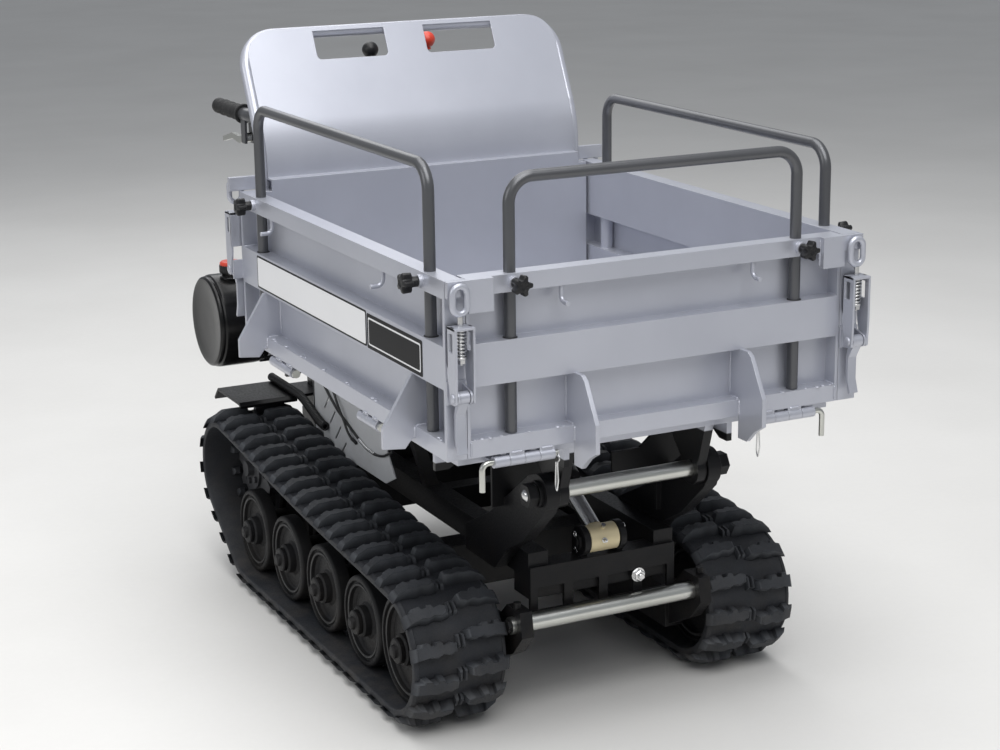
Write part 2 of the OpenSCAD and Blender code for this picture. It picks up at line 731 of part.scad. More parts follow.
// Pressed panel section: [distance out from the inner face, height]
module panel_section() {
  d = rail + sheet;
  difference() {
    union() {
      translate([0, bed_z]) square([sheet, panel_h]);
      translate([0, bed_z]) square([d, rail]);
      translate([0, rail_hi]) square([d, rail]);
      translate([0, rib_lo]) square([d, rib_h]);
    }
    translate([-1, rib_lo + sheet]) square([d - sheet + 1, rib_h - 2 * sheet]);
    translate([sheet, bed_z + sheet]) square([rail - sheet, rail - 2 * sheet]);
    translate([sheet, rail_hi + sheet]) square([rail - sheet, rail - 2 * sheet]);
  }
}

module rope_hook() {
  rod_z(4, rail_hi - 16, rail_hi + 1, 0, 0);
  translate([0, -12, rail_hi - 16]) rotate([0, 0, -90]) mirror([0, 0, 1]) mirror([1, 0, 0]) bend_xz(12, 4);
  rod_y(4, -24, -12, 0, rail_hi - 28);
}

module latch_base() {
  box([-latch_h, -4, latch_z - 16], [latch_h, 0.5, latch_z + 22]);
  both() along_x(9.5, 13.5) {
    translate([-latch_v, latch_z]) circle(12);
    polygon([[-latch_v, latch_z - 12], [-3, latch_z - 15], [-3, latch_z + 18], [-latch_v, latch_z + 12]]);
  }
  rod_x(pin_r, -latch_h, latch_h, -latch_v, latch_z);
}

module latch_hook() color(silver) {
  both() difference() {
    along_x(latch_h - cheek, latch_h) {
      translate([-latch_v, latch_z]) circle(11);
      polygon([[-latch_v - 11, latch_z], [-latch_v + 11, latch_z], [-6, latch_z + 36], [-6, house_z],
        [-38, house_z], [-38, latch_z + 36]]);
    }
    rod_x(pin_r + clear, latch_h - cheek - 1, latch_h + 1, -latch_v, latch_z);
    box([latch_h - cheek - 1, -27, spring_z0 + 8], [latch_h + 1, -13, spring_z1 - 6]);
  }
  box([-latch_h, -9, latch_z + 48], [latch_h, -6, house_z]);
  difference() {
    box([-latch_h, -38, house_z - 4], [latch_h, -6, house_z]);
    rod_z(4.5 + gap, house_z - 5, house_z + 1, 0, -20);
  }
  rod_z(4.5, spring_z0 - 14, loop_lo + 3, 0, -20);
  rod_z(10.5, spring_z0 - 5, spring_z0 - 0.1, 0, -20);
  along_z(spring_z0 - 12, spring_z0 - 5) translate([0, -20]) circle(8, $fn = 6);
  along_y(-24.5, -15) difference() {
    union() {
      translate([0, loop_lo + latch_h]) circle(latch_h);
      translate([0, loop_hi - latch_h]) circle(latch_h);
      translate([-latch_h, loop_lo + latch_h]) square([latch_w, loop_hi - loop_lo - latch_w]);
    }
    translate([0, loop_lo + latch_h]) circle(7);
    translate([0, loop_hi - latch_h]) circle(7);
    translate([-7, loop_lo + latch_h]) square([14, loop_hi - loop_lo - latch_w]);
  }
  latch_spring();
}

// Helical spring: an unbroken tube, eight rings to a curl, six sides
spring_pitch = (spring_z1 - spring_z0 - 2 * spring_wire - 0.1) / spring_turns;
spring_rings = [for (k = [0 : 8 * spring_turns]) let (a = 45 * k)
  [for (i = [0 : 5]) let (b = 60 * i, q = spring_r + spring_wire * cos(b))
    [q * cos(a), q * sin(a) - 20,
      spring_z0 + spring_wire + 0.05 + spring_pitch * k / 8 + spring_wire * sin(b)]]];
echo(spring_gap = spring_pitch - 2 * spring_wire);

module latch_spring() {
  polyhedron(points = rings_points(spring_rings), faces = rings_faces(8 * spring_turns + 1, 6));
}

module latch_lever() color(silver) difference() {
  union() {
    rod_x(10.5, -8.5, 8.5, -latch_v, latch_z);
    along_x(-8.5, 8.5) polygon([[-latch_v - 8, latch_z - 3], [-latch_v + 8, latch_z - 3], [-9, latch_z - 30],
      [-9, latch_z - 74], [-18, latch_z - 98], [-24, latch_z - 96], [-16, latch_z - 72],
      [-16, latch_z - 32]]);
  }
  rod_x(pin_r + clear, -9.5, 9.5, -latch_v, latch_z);
}

// Front latches face -Y on the post at y = 0, rear ones face +Y on the post at y = bed_l
module at_latch(s, rear) {
  at = rear ? [post_c + rear_out, bed_l, rear_up] : [post_c, 0, 0];
  side(s) translate(at) mirror([0, rear ? 1 : 0, 0]) children();
}

module keeper(out) {
  box([gate_x - 45, -12, top_z - 55], [gate_x, 0.5, top_z]);
  box([gate_x - 1, -12, keeper_z], [post_c + out + latch_h, -2, top_z]);
  box([post_c + out - 5, -14.3, keeper_z + 2], [post_c + out + 5, -11, keeper_z + 13]);
}

module side_panel() color(silver) {
  difference() {
    union() {
      translate([xi - sheet, 0, 0]) along_y(plate_t - 0.5, bed_l - plate_t + 0.5) panel_section();
      for (y = [0, bed_l - plate_t]) box([post_x, y, bed_z], [xo, y + plate_t, top_z]);
      for (y = [side_leg_y, side_leg_y + hoop_l]) {
        rod_x(11, xo - 1, xo + 8, y, knob_z);
        rod_z(leg_r + 3, rib_lo + 1, rib_hi - 1, leg_x, y);
      }
      for (y = [130, bed_l - 122]) along_y(y - 4, y + 4)
        polygon([[xi, rib_lo + 1], [xo + 4, rib_lo - 1], [xo + 58, bed_z + 31], [xo + 58, bed_z - 4],
          [xo + 18, bed_z - 8], [xo + 5, bed_z + 8], [xi, bed_z + 8]]);
      for (y = [262, bed_l - 157]) translate([xo - 8, y, 0]) rotate([0, 0, 90]) rope_hook();
      for (h = side_hinge) for (k = [0, 2]) {
        a = h[0] + (h[1] - h[0]) / 4 * k + gap;
        b = h[0] + (h[1] - h[0]) / 4 * (k + 1) - gap;
        rod_y(hinge_r, a, b, side_hinge_x, hinge_z);
        box([side_hinge_x - 8, a, hinge_z], [side_hinge_x + 5, b, bed_z + 1]);
      }
    }
    for (y = [side_leg_y, side_leg_y + hoop_l]) {
      rod_z(leg_r, rib_lo - 1, top_z + 1, leg_x, y);
      rod_x(4 + gap, leg_x, xo + 9, y, knob_z);
    }
    for (h = side_hinge) rod_y(pin_r + clear, h[0] - 1, h[1] + 1, side_hinge_x, hinge_z);
    for (y = [50, bed_l - 50]) rod_z(3, bed_z - 1, bed_z + sheet + 1, leg_x, y);
  }
  for (rear = [false, true]) at_latch(1, rear) latch_base();
}

module front_gate() color(silver) {
  difference() {
    union() {
      translate([0, rail + sheet, 0]) mirror([0, 1, 0]) rotate([0, 0, 90])
        along_y(-gate_x + 5.5, gate_x - 5.5) panel_section();
      both() box([gate_x - 6, 0, bed_z], [gate_x, rail + sheet, top_z]);
      both() rod_y(11, -8, 1, hoop_w / 2, knob_z);
      both() along_x(gusset_x - 4, gusset_x + 4)
        polygon([[rail, rib_lo + 1], [-22, rib_lo + 1], [-33, rib_lo - 6], [-gusset_reach, bed_z + 46],
          [-gusset_reach, bed_z - 3], [-48, bed_z - 17], [-24, hinge_z - 26], [2, hinge_z - 26],
          [2, bed_z + 1], [rail, bed_z + 1]]);
      both() translate([186, 8, 0]) rope_hook();
      both() for (k = [0, 2]) {
        a = gate_hinge_x + knuckle * k + gap;
        b = gate_hinge_x + knuckle * (k + 1) - gap;
        rod_x(hinge_r, a, b, hinge_y, hinge_z);
        box([a, hinge_y - 5, hinge_z], [b, hinge_y + 8, bed_z + 1]);
      }
      both() keeper(0);
    }
    both() {
      rod_z(leg_r, rib_lo - 1, top_z + 1, hoop_w / 2, leg_y);
      rod_y(4 + gap, -9, leg_y, hoop_w / 2, knob_z);
      rod_x(pin_r + clear, gate_hinge_x - 1, gate_hinge_x + 4 * knuckle + 1, hinge_y, hinge_z);
      rod_z(3, bed_z - 1, bed_z + sheet + 1, 120, leg_y);
    }
  }
}

// U-shaped hoop in the XZ plane with its legs at +-w/2
module hoop(w, z1) {
  rod_x(hoop_r, -w / 2 + hoop_bend, w / 2 - hoop_bend, 0, z1);
  both() {
    rod_z(hoop_r, leg_z, z1 - hoop_bend, w / 2, 0);
    translate([w / 2 - hoop_bend, 0, z1 - hoop_bend]) bend_xz(hoop_bend, hoop_r);
  }
}

module side_hoop(rise) color(grey) translate([leg_x, side_leg_y + hoop_l / 2, 0]) rotate([0, 0, 90])
  hoop(hoop_l, top_z + rise);

module hoop_front() color(grey) translate([0, leg_y, 0]) hoop(hoop_w, top_z + hoop_rise - 19);

// Star knob turned about -Y with its screw, seated on a boss at the origin
module star_knob() color(black) {
  rod_y(4, -10, rail / 2 - hoop_r + 7.3, 0, 0);
  rod_y(10, -17, -0.5, 0, 0);
  along_y(-30, -12) {
    circle(16);
    for (k = [0 : 4]) translate(16 * dir(72 * k + 90)) circle(6.5);
  }
}

module side_knob(y) translate([xo + 8, y, knob_z]) rotate([0, 0, 90]) star_knob();

module gate_knob(s) translate([s * hoop_w / 2, -8, knob_z]) star_knob();

// Shield: sheet and tube frame, vertical below the knee, leaning above it

module lean_frame() {
  translate([0, lean_y, lean_z]) rotate([-shield_lean, 0, 0]) children();
}

// Rounded top of the shield's sheet: [across, up]
function corner_arc(s, n) = [for (k = [0 : n]) let (a = s > 0 ? 90 * k / n : 90 + 90 * k / n)
  [s * (sheet_w - plate_r) + plate_r * cos(a), lean_l + 6 - plate_r + plate_r * sin(a)]];

module shield_window() {
  translate([-78, lean_l - 54]) square([156, 51]);
  translate([-68, lean_l - 64]) square([136, 11]);
  for (x = [-68, 68]) translate([x, lean_l - 54]) circle(10);
}

module shield_frame() {
  both() {
    rod_z(shield_tube, bed_z, shield_knee, shield_x, shield_y);
    translate([shield_x, knee_y, shield_knee]) mirror([0, 1, 0])
      bend_yz(knee_r, shield_tube, shield_lean - 1);
    lean_frame() translate([shield_x, 0, 0]) sphere(shield_tube + 0.6);
    lean_frame() rod_z(shield_tube, 3, lean_l - corner_r, shield_x, 0);
    lean_frame() translate([shield_x - corner_r, 0, lean_l - corner_r]) bend_xz(corner_r, shield_tube);
  }
  lean_frame() rod_x(shield_tube, -shield_x + corner_r, shield_x - corner_r, 0, lean_l);
}

module rear_shield() color(silver) {
  bx = gate_x;
  y0 = bed_l - rail;
  difference() {
    box([-bx, y0 - sheet, frame_z + 1], [bx, bed_l, top_z]);
    for (z = [[frame_z + 5, rail_lo - sheet], [rail_lo, rail_hi], [rail_hi + sheet, top_z - sheet]])
      box([-bx + 6, y0, z[0]], [bx - 6, bed_l + 1, z[1]]);
  }
  translate([0, bed_l, rear_up]) mirror([0, 1, 0]) both() keeper(rear_out);
  // Tube frame
  shield_frame();
  both() for (z = [bed_z + 20, top_z - 90])
    box([shield_x - 8, bed_l - 2, z - 12], [bx - 1, shield_y, z + 12]);
  // Sheet on the front of the tubes, with a ledge where it meets the wall
  t = 1.5;
  h = lean_l - corner_r;
  w = sheet_w;
  y1 = shield_y - sheet_off;
  box([-w, y0 - sheet, top_z - sheet - 1], [w, y0, wall_z]);
  box([-w, y0 - sheet, wall_z - sheet], [w, y1 + t, wall_z]);
  box([-w, y1 - t, wall_z - 1], [w, y1 + t, shield_knee]);
  translate([0, knee_y, shield_knee]) rotate([90, 0, -90]) rotate_extrude(angle = shield_lean - 0.3)
    translate([knee_r + sheet_off - t, -w]) square([2 * t, 2 * w]);
  lean_frame() translate([0, -sheet_off, 0]) {
    rod_x(t + 0.7, -w + 1, w - 1, 0.9, 0);
    box([-w, -t, 1], [w, t, h]);
    along_y(-t, t) difference() {
      polygon(concat([[-w, h - 1], [w, h - 1]], corner_arc(1, 8), corner_arc(-1, 8)));
      for (x = [-122, 122]) translate([x, 0]) shield_window();
    }
  }
}

// Tip cylinder: local X runs from the front eye to the rear eye

module ram_frame() {
  translate([0, eye_c[0], eye_c[1]]) rotate([ram_a, 0, 0]) children();
}

module cylinder_rod() color([0.78, 0.74, 0.62]) ram_frame() difference() {
  union() {
    rod_x(eye_r, -29, 29, 0, 0);
    rod_y(rod_r, 12, 308, 0, 0);
    rod_y(barrel_r - 4.6, 307, 322, 0, 0);
    rod_z(4, eye_r - 2, eye_r + 8, 0, 0);
  }
  rod_x(10 + clear, -30, 30, 0, 0);
}

module cylinder_barrel() color(black) ram_frame() difference() {
  union() {
    rod_y(barrel_r, 150, ram_l - 14, 0, 0);
    rod_x(ram_eye_r, -28, 28, ram_l, 0);
    rod_y(barrel_r + 3, 146, 170, 0, 0);
    rod_z(9, barrel_r - 2, barrel_r + 14, 0, 186);
  }
  rod_y(rod_r + clear, 140, 175, 0, 0);
  rod_y(barrel_r - 4.5, 174, ram_l - 32, 0, 0);
  rod_x(ram_bore, -29, 29, ram_l, 0);
}

module centred() {
  translate([0, -mid_y, 0]) children();
}

centred() main_frame();
centred() track_frames();
centred() front_shafts();
centred() frame_fasteners();
centred() side_covers();
centred() rear_fenders();
centred() engine_block();
centred() engine_cowl();
centred() muffler();
centred() gearbox();
centred() valve_block();
centred() oil_tank();
centred() oil_tank_cap();
centred() hydraulic_hoses();
centred() handlebar();
centred() handle_grips();
centred() control_console();
centred() color(rubber) side(-1) belt();  // track_right
centred() color(rubber) side(1) belt();  // track_left
centred() color(steel) side(-1) sprocket_body();  // sprocket_right
centred() color(steel) side(1) sprocket_body();  // sprocket_left
centred() idler(-1);  // idler_right
centred() idler(1);  // idler_left
centred() road_wheel(-1, 1);  // wheel_right_1
centred() road_wheel(-1, 2);  // wheel_right_2
centred() road_wheel(-1, 3);  // wheel_right_3
centred() road_wheel(-1, 4);  // wheel_right_4
centred() road_wheel(1, 1);  // wheel_left_1
centred() road_wheel(1, 2);  // wheel_left_2
centred() road_wheel(1, 3);  // wheel_left_3
centred() road_wheel(1, 4);  // wheel_left_4
centred() bed_floor();
centred() hinge_pins();
centred() rear_shield();
centred() side(-1) side_panel();  // side_panel_right
centred() side(1) side_panel();  // side_panel_left
centred() front_gate();
centred() side(-1) side_hoop(hoop_rise);  // hoop_right
centred() side(1) side_hoop(hoop_rise - 30);  // hoop_left
centred() hoop_front();
centred() side(-1) side_knob(side_leg_y);  // knob_right_front
centred() side(-1) side_knob(side_leg_y + hoop_l);  // knob_right_rear
centred() side(1) side_knob(side_leg_y);  // knob_left_front
centred() side(1) side_knob(side_leg_y + hoop_l);  // knob_left_rear
centred() gate_knob(-1);  // knob_gate_right
centred() gate_knob(1);  // knob_gate_left
centred() at_latch(-1, false) latch_hook();  // hook_front_right
centred() at_latch(1, false) latch_hook();  // hook_front_left
centred() at_latch(-1, true) latch_hook();  // hook_rear_right
centred() at_latch(1, true) latch_hook();  // hook_rear_left
centred() at_latch(-1, false) latch_lever();  // lever_front_right
centred() at_latch(1, false) latch_lever();  // lever_front_left
centred() at_latch(-1, true) latch_lever();  // lever_rear_right
centred() at_latch(1, true) latch_lever();  // lever_rear_left
centred() cylinder_rod();
centred() cylinder_barrel();
centred() tip_lever();
centred() gear_lever();
centred() side(-1) steering_lever();  // steering_lever_right
centred() side(1) steering_lever();  // steering_lever_left
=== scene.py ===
"""Looks of a tracked power carrier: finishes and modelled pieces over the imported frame.

Lengths are millimetres in the machine's own frame: x across, y = 0 at the gate's front face and
growing towards the operator, z up from the ground. put() turns them into the frame's metres.
"""

import bpy
import numpy as np
from mathutils import Matrix


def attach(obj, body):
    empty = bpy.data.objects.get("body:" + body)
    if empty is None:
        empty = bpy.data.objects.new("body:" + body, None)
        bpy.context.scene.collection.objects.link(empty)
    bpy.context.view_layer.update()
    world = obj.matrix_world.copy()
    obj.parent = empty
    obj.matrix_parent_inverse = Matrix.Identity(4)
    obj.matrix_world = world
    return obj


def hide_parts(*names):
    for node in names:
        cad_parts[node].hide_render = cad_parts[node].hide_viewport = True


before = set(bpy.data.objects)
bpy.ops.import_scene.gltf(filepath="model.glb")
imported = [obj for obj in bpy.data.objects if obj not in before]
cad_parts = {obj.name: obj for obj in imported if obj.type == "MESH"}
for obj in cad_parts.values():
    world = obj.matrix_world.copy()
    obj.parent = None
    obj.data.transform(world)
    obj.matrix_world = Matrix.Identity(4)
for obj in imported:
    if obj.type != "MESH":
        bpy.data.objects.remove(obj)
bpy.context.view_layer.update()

MID_Y = 640.0
MM = 0.001
TAU = 2 * np.pi
ACROSS = (1.0, 0.0, 0.0)
SIDES = (("right", -1.0), ("left", 1.0))

# Bed: XO is its half width, POST_C the middle of a latch
BED_L, BED_Z, TOP_Z = 952.0, 577.0, 877.0
XO, RAIL = 401.0, 30.0
GATE_X, POST_C = 363.5, 382.75
RIB_LO, RIB_HI = 696.0, 768.0
HINGE_Y, HINGE_Z = 5.0, 563.0
GATE_HINGE_X, KNUCKLE, GUSSET_X = 204.0, 28.0, 162.0
SIDE_HINGES = ((287.0, 371.0), (699.0, 811.0))
KNOB_Z = 862.0
HOOP_W, SIDE_LEGS = 554.0, (85.0, 870.0)

# Track: wheels are (y, z, radius)
TRACK_X, TRACK_W, BELT_T, LUG_H = 302.0, 180.0, 14.0, 22.0
IDLER, DRIVE = (288.0, 139.0, 103.0), (1192.0, 225.0, 99.0)
WHEEL_Y, WHEEL_Z, WHEEL_R = (484.0, 680.0, 875.0, 1071.0), 125.0, 89.0
LUGS, HORN_H, SAG, BELT_GAP = 43, 14.0, 7.0, 1.3

# Latch, cylinder and controls
LATCH_V, LATCH_Z, LATCH_HALF, CHEEK = 25.0, 690.0, 18.0, 4.0
HOUSE_Z, LOOP_LO, LOOP_HI = 806.0, 820.0, 876.0
REAR_OUT, REAR_UP = 20.0, 28.0
EYE = (213.0, 316.0)
GRIP_X, BAR_Z, GRIP_START, GRIP_END = 300.0, 995.0, 1190.0, 1352.0
RAIL_TOP = 312.0


# Shapes: each returns (points, faces) in millimetres


def grid(points, close_u=False, close_v=False):
    """Quads over a grid of points [u, v, xyz]; a closed direction joins its last row to its first."""
    nu, nv = points.shape[:2]
    u = np.arange(nu if close_u else nu - 1)[:, None]
    v = np.arange(nv if close_v else nv - 1)[None, :]
    a, b = u * nv, (u + 1) % nu * nv
    w = (v + 1) % nv
    faces = np.stack([a + v, b + v, b + w, a + w], -1).reshape(-1, 4)
    return points.reshape(-1, 3), faces.tolist()


def capped(shape, first, last):
    """A shape with its two end rings, given as index lists, closed by flat faces."""
    points, faces = shape
    return points, faces + [list(first), list(last)[::-1]]


def outward(shape):
    """The shape with its faces pointing out: the signed volume of its faces' fans tells which way they are."""
    points, faces = shape
    volume = 0.0
    for n in {len(f) for f in faces}:
        fan = points[np.array([f for f in faces if len(f) == n])]
        volume += np.einsum("fi,fki->", fan[:, 0], np.cross(fan[:, 1:-1], fan[:, 2:]))
    return (points, faces) if volume > 0 else (points, [f[::-1] for f in faces])


def unit(v):
    """Vectors at length one."""
    return v / np.linalg.norm(v, axis=-1, keepdims=True)


def carried(path, profile, across, close=False, scale=None):
    """A profile carried along a path: at each point it stands square to the path, its first axis
    along (across x tangent) and its second along the rest; scale sizes it point by point."""
    path = np.asarray(path, float)
    if close:
        tangent = np.roll(path, -1, 0) - np.roll(path, 1, 0)
    else:
        tangent = np.gradient(path, axis=0)
    tangent = unit(tangent)
    n1 = unit(np.cross(np.broadcast_to(np.asarray(across, float), tangent.shape), tangent))
    n2 = np.cross(tangent, n1)
    size = np.ones(len(path)) if scale is None else np.asarray(scale, float)
    q = profile[None] * size[:, None, None]
    points = path[:, None] + q[..., :1] * n1[:, None] + q[..., 1:] * n2[:, None]
    shape = grid(points, close, True)
    m, n = len(profile), len(path)
    if close:
        return shape
    return capped(shape, range(m), range((n - 1) * m, n * m))


def ring(r, n):
    """n points round a circle of radius r."""
    a = TAU * np.arange(n) / n
    return np.stack([r * np.cos(a), r * np.sin(a)], -1)


def wire(path, r, across, sides=10, close=False, scale=None):
    """Round bar of radius r along a path."""
    return carried(path, ring(r, sides), across, close, scale)


def turned(profile, centre, axis, sides=40, wave=None):
    """Profile [radius, along] turned about an axis through centre; wave(angle, along) swells the radius."""
    profile = np.asarray(profile, float)
    a = TAU * np.arange(sides) / sides
    r = profile[:, :1] * np.ones((1, sides))
    if wave is not None:
        r = r * wave(a[None], profile[:, 1:])
    along = profile[:, 1:] * np.ones((1, sides))
    c, s = r * np.cos(a), r * np.sin(a)
    order = {"x": (along, c, s), "y": (s, along, c), "z": (c, s, along)}[axis]
    points = np.stack(order, -1) + np.asarray(centre, float)
    shape = grid(points, False, True)
    n = len(profile)
    return capped(shape, range(sides), range((n - 1) * sides, n * sides))


def plate(outline, lo, hi, axis):
    """Flat plate: an outline in the plane square to axis, carried from lo to hi along it."""
    outline = np.asarray(outline, float)
    ends = np.array([lo, hi], float)[:, None] * np.ones(len(outline))
    p, q = (np.broadcast_to(outline[:, k], ends.shape) for k in (0, 1))
    order = {"x": (ends, p, q), "y": (p, ends, q), "z": (p, q, ends)}[axis]
    shape = grid(np.stack(order, -1), False, True)
    m = len(outline)
    return capped(shape, range(m), range(m, 2 * m))


def bar(lo, hi):
    """Square block between two corners."""
    (x0, y0, z0), (x1, y1, z1) = lo, hi
    return plate([(x0, y0), (x1, y0), (x1, y1), (x0, y1)], z0, z1, "z")


def rounded(corners, r, steps=6):
    """Line through corners with each inner corner replaced by a curve that leaves its sides r away."""
    corners = np.asarray(corners, float)
    t = np.linspace(0, 1, steps)[:, None]
    bits = [corners[:1]]
    for before, here, after in zip(corners, corners[1:], corners[2:]):
        a, b = here + r * unit(before - here), here + r * unit(after - here)
        bits.append((1 - t) ** 2 * a + 2 * t * (1 - t) * here + t ** 2 * b)
    return np.concatenate(bits + [corners[-1:]])


def mirrored(shape):
    """The same shape on the other side of x = 0."""
    return shape[0] * np.array([-1.0, 1, 1]), shape[1]


def placed(shape, matrix, by):
    """A shape turned or mirrored by a 3 x 3 matrix and then shifted."""
    return shape[0] @ np.asarray(matrix, float).T + np.asarray(by, float), shape[1]


def put(name, shapes, finish, body, stands_for=(), crease=32, bevel=0.0, marks=None):
    """Joins shapes, turned face out, into one piece of a finish riding on a body; marks is a value
    per point, "wear"."""
    shapes = [outward(shape) for shape in shapes]
    sizes = np.cumsum([0] + [len(p) for p, _ in shapes])
    points = np.concatenate([p for p, _ in shapes])
    faces = [[i + k for i in f] for (_, fs), k in zip(shapes, sizes) for f in fs]
    mesh = bpy.data.meshes.new(name)
    mesh.from_pydata(((points - (0, MID_Y, 0)) * MM).tolist(), [], faces)
    mesh.validate()
    mesh.polygons.foreach_set("use_smooth", [True] * len(mesh.polygons))
    mesh.set_sharp_from_angle(angle=np.radians(crease))
    if marks is not None:
        layer = mesh.attributes.new("wear_and_glint", "FLOAT", "POINT")
        layer.data.foreach_set("value", np.asarray(marks, np.float32))
    obj = bpy.data.objects.new(name, mesh)
    bpy.context.scene.collection.objects.link(obj)
    mesh.materials.append(finish)
    if bevel:
        mod = obj.modifiers.new("edges", "BEVEL")
        mod.width, mod.segments, mod.angle_limit = bevel * MM, 2, np.radians(crease)
        mod.harden_normals = True
    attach(obj, body)
    if stands_for:
        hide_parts(*stands_for)


# Finishes


class Sheet:
    """One material's node sheet, read in Object coordinates."""

    def __init__(self, name):
        self.material = bpy.data.materials.new(name)
        self.material.use_nodes = True
        self.tree = self.material.node_tree
        self.shader = self.tree.nodes["Principled BSDF"]
        self.place = self.node("ShaderNodeTexCoord").outputs["Object"]

    def node(self, kind, settings=None, **links):
        """A node with settings on its fields and values or links on its sockets, named or by number."""
        node = self.tree.nodes.new(kind)
        for key, value in (settings or {}).items():
            setattr(node, key, value)
        for key, value in links.items():
            socket = node.inputs[int(key[1:]) if key[0] == "n" and key[1:].isdigit() else key]
            self.set(socket, value)
        return node

    def set(self, socket, value):
        """A link from an output, or a plain value."""
        if isinstance(value, bpy.types.NodeSocket):
            self.tree.links.new(value, socket)
        else:
            socket.default_value = value

    def noise(self, scale, detail=3.0, rough=0.55):
        """Cloudy pattern from 0 to 1 with scale patches to the metre."""
        node = self.node("ShaderNodeTexNoise", Vector=self.place, Scale=scale, Detail=detail, Roughness=rough)
        return node.outputs["Fac"]

    def span(self, value, a, b, c, d):
        """value stretched from a..b to c..d and held there."""
        return self.node("ShaderNodeMapRange", n0=value, n1=a, n2=b, n3=c, n4=d).outputs[0]

    def times(self, a, b):
        """Product of two values."""
        return self.node("ShaderNodeMath", {"operation": "MULTIPLY"}, n0=a, n1=b).outputs[0]

    def mix(self, share, a, b):
        """Colour a turning into colour b; each is an output or a linear (red, green, blue)."""
        a, b = (c if isinstance(c, bpy.types.NodeSocket) else (*c, 1.0) for c in (a, b))
        return self.node("ShaderNodeMix", {"data_type": "RGBA"}, n0=share, n6=a, n7=b).outputs[2]

    def along(self, axis):
        """Place along axis 0, 1 or 2 in metres; axis 2 is the height above the ground."""
        return self.node("ShaderNodeSeparateXYZ", n0=self.place).outputs[axis]


GRAIN_DEPTH, LINE_BLUR = 0.0006, 0.0002


def made_finish(name, colour, rough, metal, second, *, patch=5.0, grain=240.0, bump=0.08, edge=None,
                round_mm=1.2, dust=None, wear_and_glint=None, spread=0.10, level=0.5, under=None, within=None):
    """A worked finish: two tones in cloudy patches, fine grain in bump and gloss, edges painted lighter
    where a rounded normal leaves the flat one (a painted highlight, partly worn paint), ground dust below
    a height, per-point marks (worn lug tops, and a painted highlight ring on rollers), and another colour
    under a height or within a distance of the middle. Each of these is its colour and then its limits and
    strongest share. Round bars have no rounded normal: round_mm is 0."""
    sheet = Sheet(name)
    shader = sheet.shader
    cloud = sheet.noise(patch, 5.0)
    fine = sheet.noise(grain, 2.0)
    tone = sheet.mix(sheet.span(cloud, 0.35, 0.68, 0.0, 1.0), colour, second)
    flat = sheet.node("ShaderNodeNewGeometry").outputs["Normal"]
    smooth = sheet.node("ShaderNodeBevel", {"samples": 4}, Radius=round_mm * MM).outputs[0] if round_mm else flat
    # The edge colour paints a highlight along rounded edges, partly worn paint.
    if edge:
        *shade, most = edge
        dot = sheet.node("ShaderNodeVectorMath", {"operation": "DOT_PRODUCT"}, n0=smooth, n1=flat).outputs["Value"]
        rim = sheet.times(sheet.span(dot, 0.995, 0.86, 0.0, most), sheet.span(cloud, 0.3, 0.6, 0.35, 1.0))
        tone = sheet.mix(rim, tone, shade)
    # Per-point marks: worn lug tops on the tracks, and a painted highlight ring on the rollers' rims.
    if wear_and_glint:
        mark = sheet.node("ShaderNodeAttribute", {"attribute_name": "wear_and_glint"}).outputs["Fac"]
        tone = sheet.mix(sheet.times(mark, sheet.span(cloud, 0.3, 0.65, 0.4, 1.0)), tone, wear_and_glint)
    if under:
        *shade, low, high = under
        tone = sheet.mix(sheet.span(sheet.along(2), low, high, 1.0, 0.0), tone, shade)
    if within:
        *shade, reach = within
        across = sheet.node("ShaderNodeMath", {"operation": "ABSOLUTE"}, n0=sheet.along(0)).outputs[0]
        tone = sheet.mix(sheet.span(across, reach - LINE_BLUR, reach, 1.0, 0.0), tone, shade)
    if dust:
        *shade, low, high, most = dust
        specks = sheet.span(sheet.noise(16.0, 6.0, 0.65), 0.42, 0.66, 0.0, 1.0)
        tone = sheet.mix(sheet.times(sheet.span(sheet.along(2), low, high, most, 0.0), specks), tone, shade)
    sheet.set(shader.inputs["Base Color"], tone)
    gloss_at = sheet.span(fine, 0.3, 0.7, max(rough - spread, 0.05), min(rough + spread, 1.0)) if spread else rough
    sheet.set(shader.inputs["Roughness"], gloss_at)
    shader.inputs["Metallic"].default_value = metal
    shader.inputs["Specular IOR Level"].default_value = level
    if bump:
        grained = sheet.node("ShaderNodeBump", Strength=bump, Distance=GRAIN_DEPTH, Height=fine, Normal=smooth)
        smooth = grained.outputs[0]
    sheet.set(shader.inputs["Normal"], smooth)
    return sheet.material


def rod_finish(eye_r=0.028):
    """Ground steel rod whose front eye, within eye_r of the eye's middle, is passivated yellow."""
    sheet = Sheet("ground_rod")
    middle = (0.0, (EYE[0] - MID_Y) * MM, EYE[1] * MM)
    off = sheet.node("ShaderNodeVectorMath", {"operation": "SUBTRACT"}, n0=sheet.place, n1=middle).outputs[0]
    flat = sheet.node("ShaderNodeVectorMath", {"operation": "MULTIPLY"}, n0=off, n1=(0.0, 1.0, 1.0)).outputs[0]
    far = sheet.node("ShaderNodeVectorMath", {"operation": "LENGTH"}, n0=flat).outputs["Value"]
    steel = sheet.span(far, eye_r, eye_r + 0.001, 0.0, 1.0)
    yellow = sheet.mix(sheet.noise(30.0), (0.68, 0.59, 0.38), (0.60, 0.51, 0.32))
    sheet.set(sheet.shader.inputs["Base Color"], sheet.mix(steel, yellow, (0.42, 0.42, 0.42)))
    sheet.set(sheet.shader.inputs["Metallic"], sheet.span(steel, 0.0, 1.0, 0.3, 1.0))
    sheet.set(sheet.shader.inputs["Roughness"], sheet.span(steel, 0.0, 1.0, 0.42, 0.2))
    return sheet.material


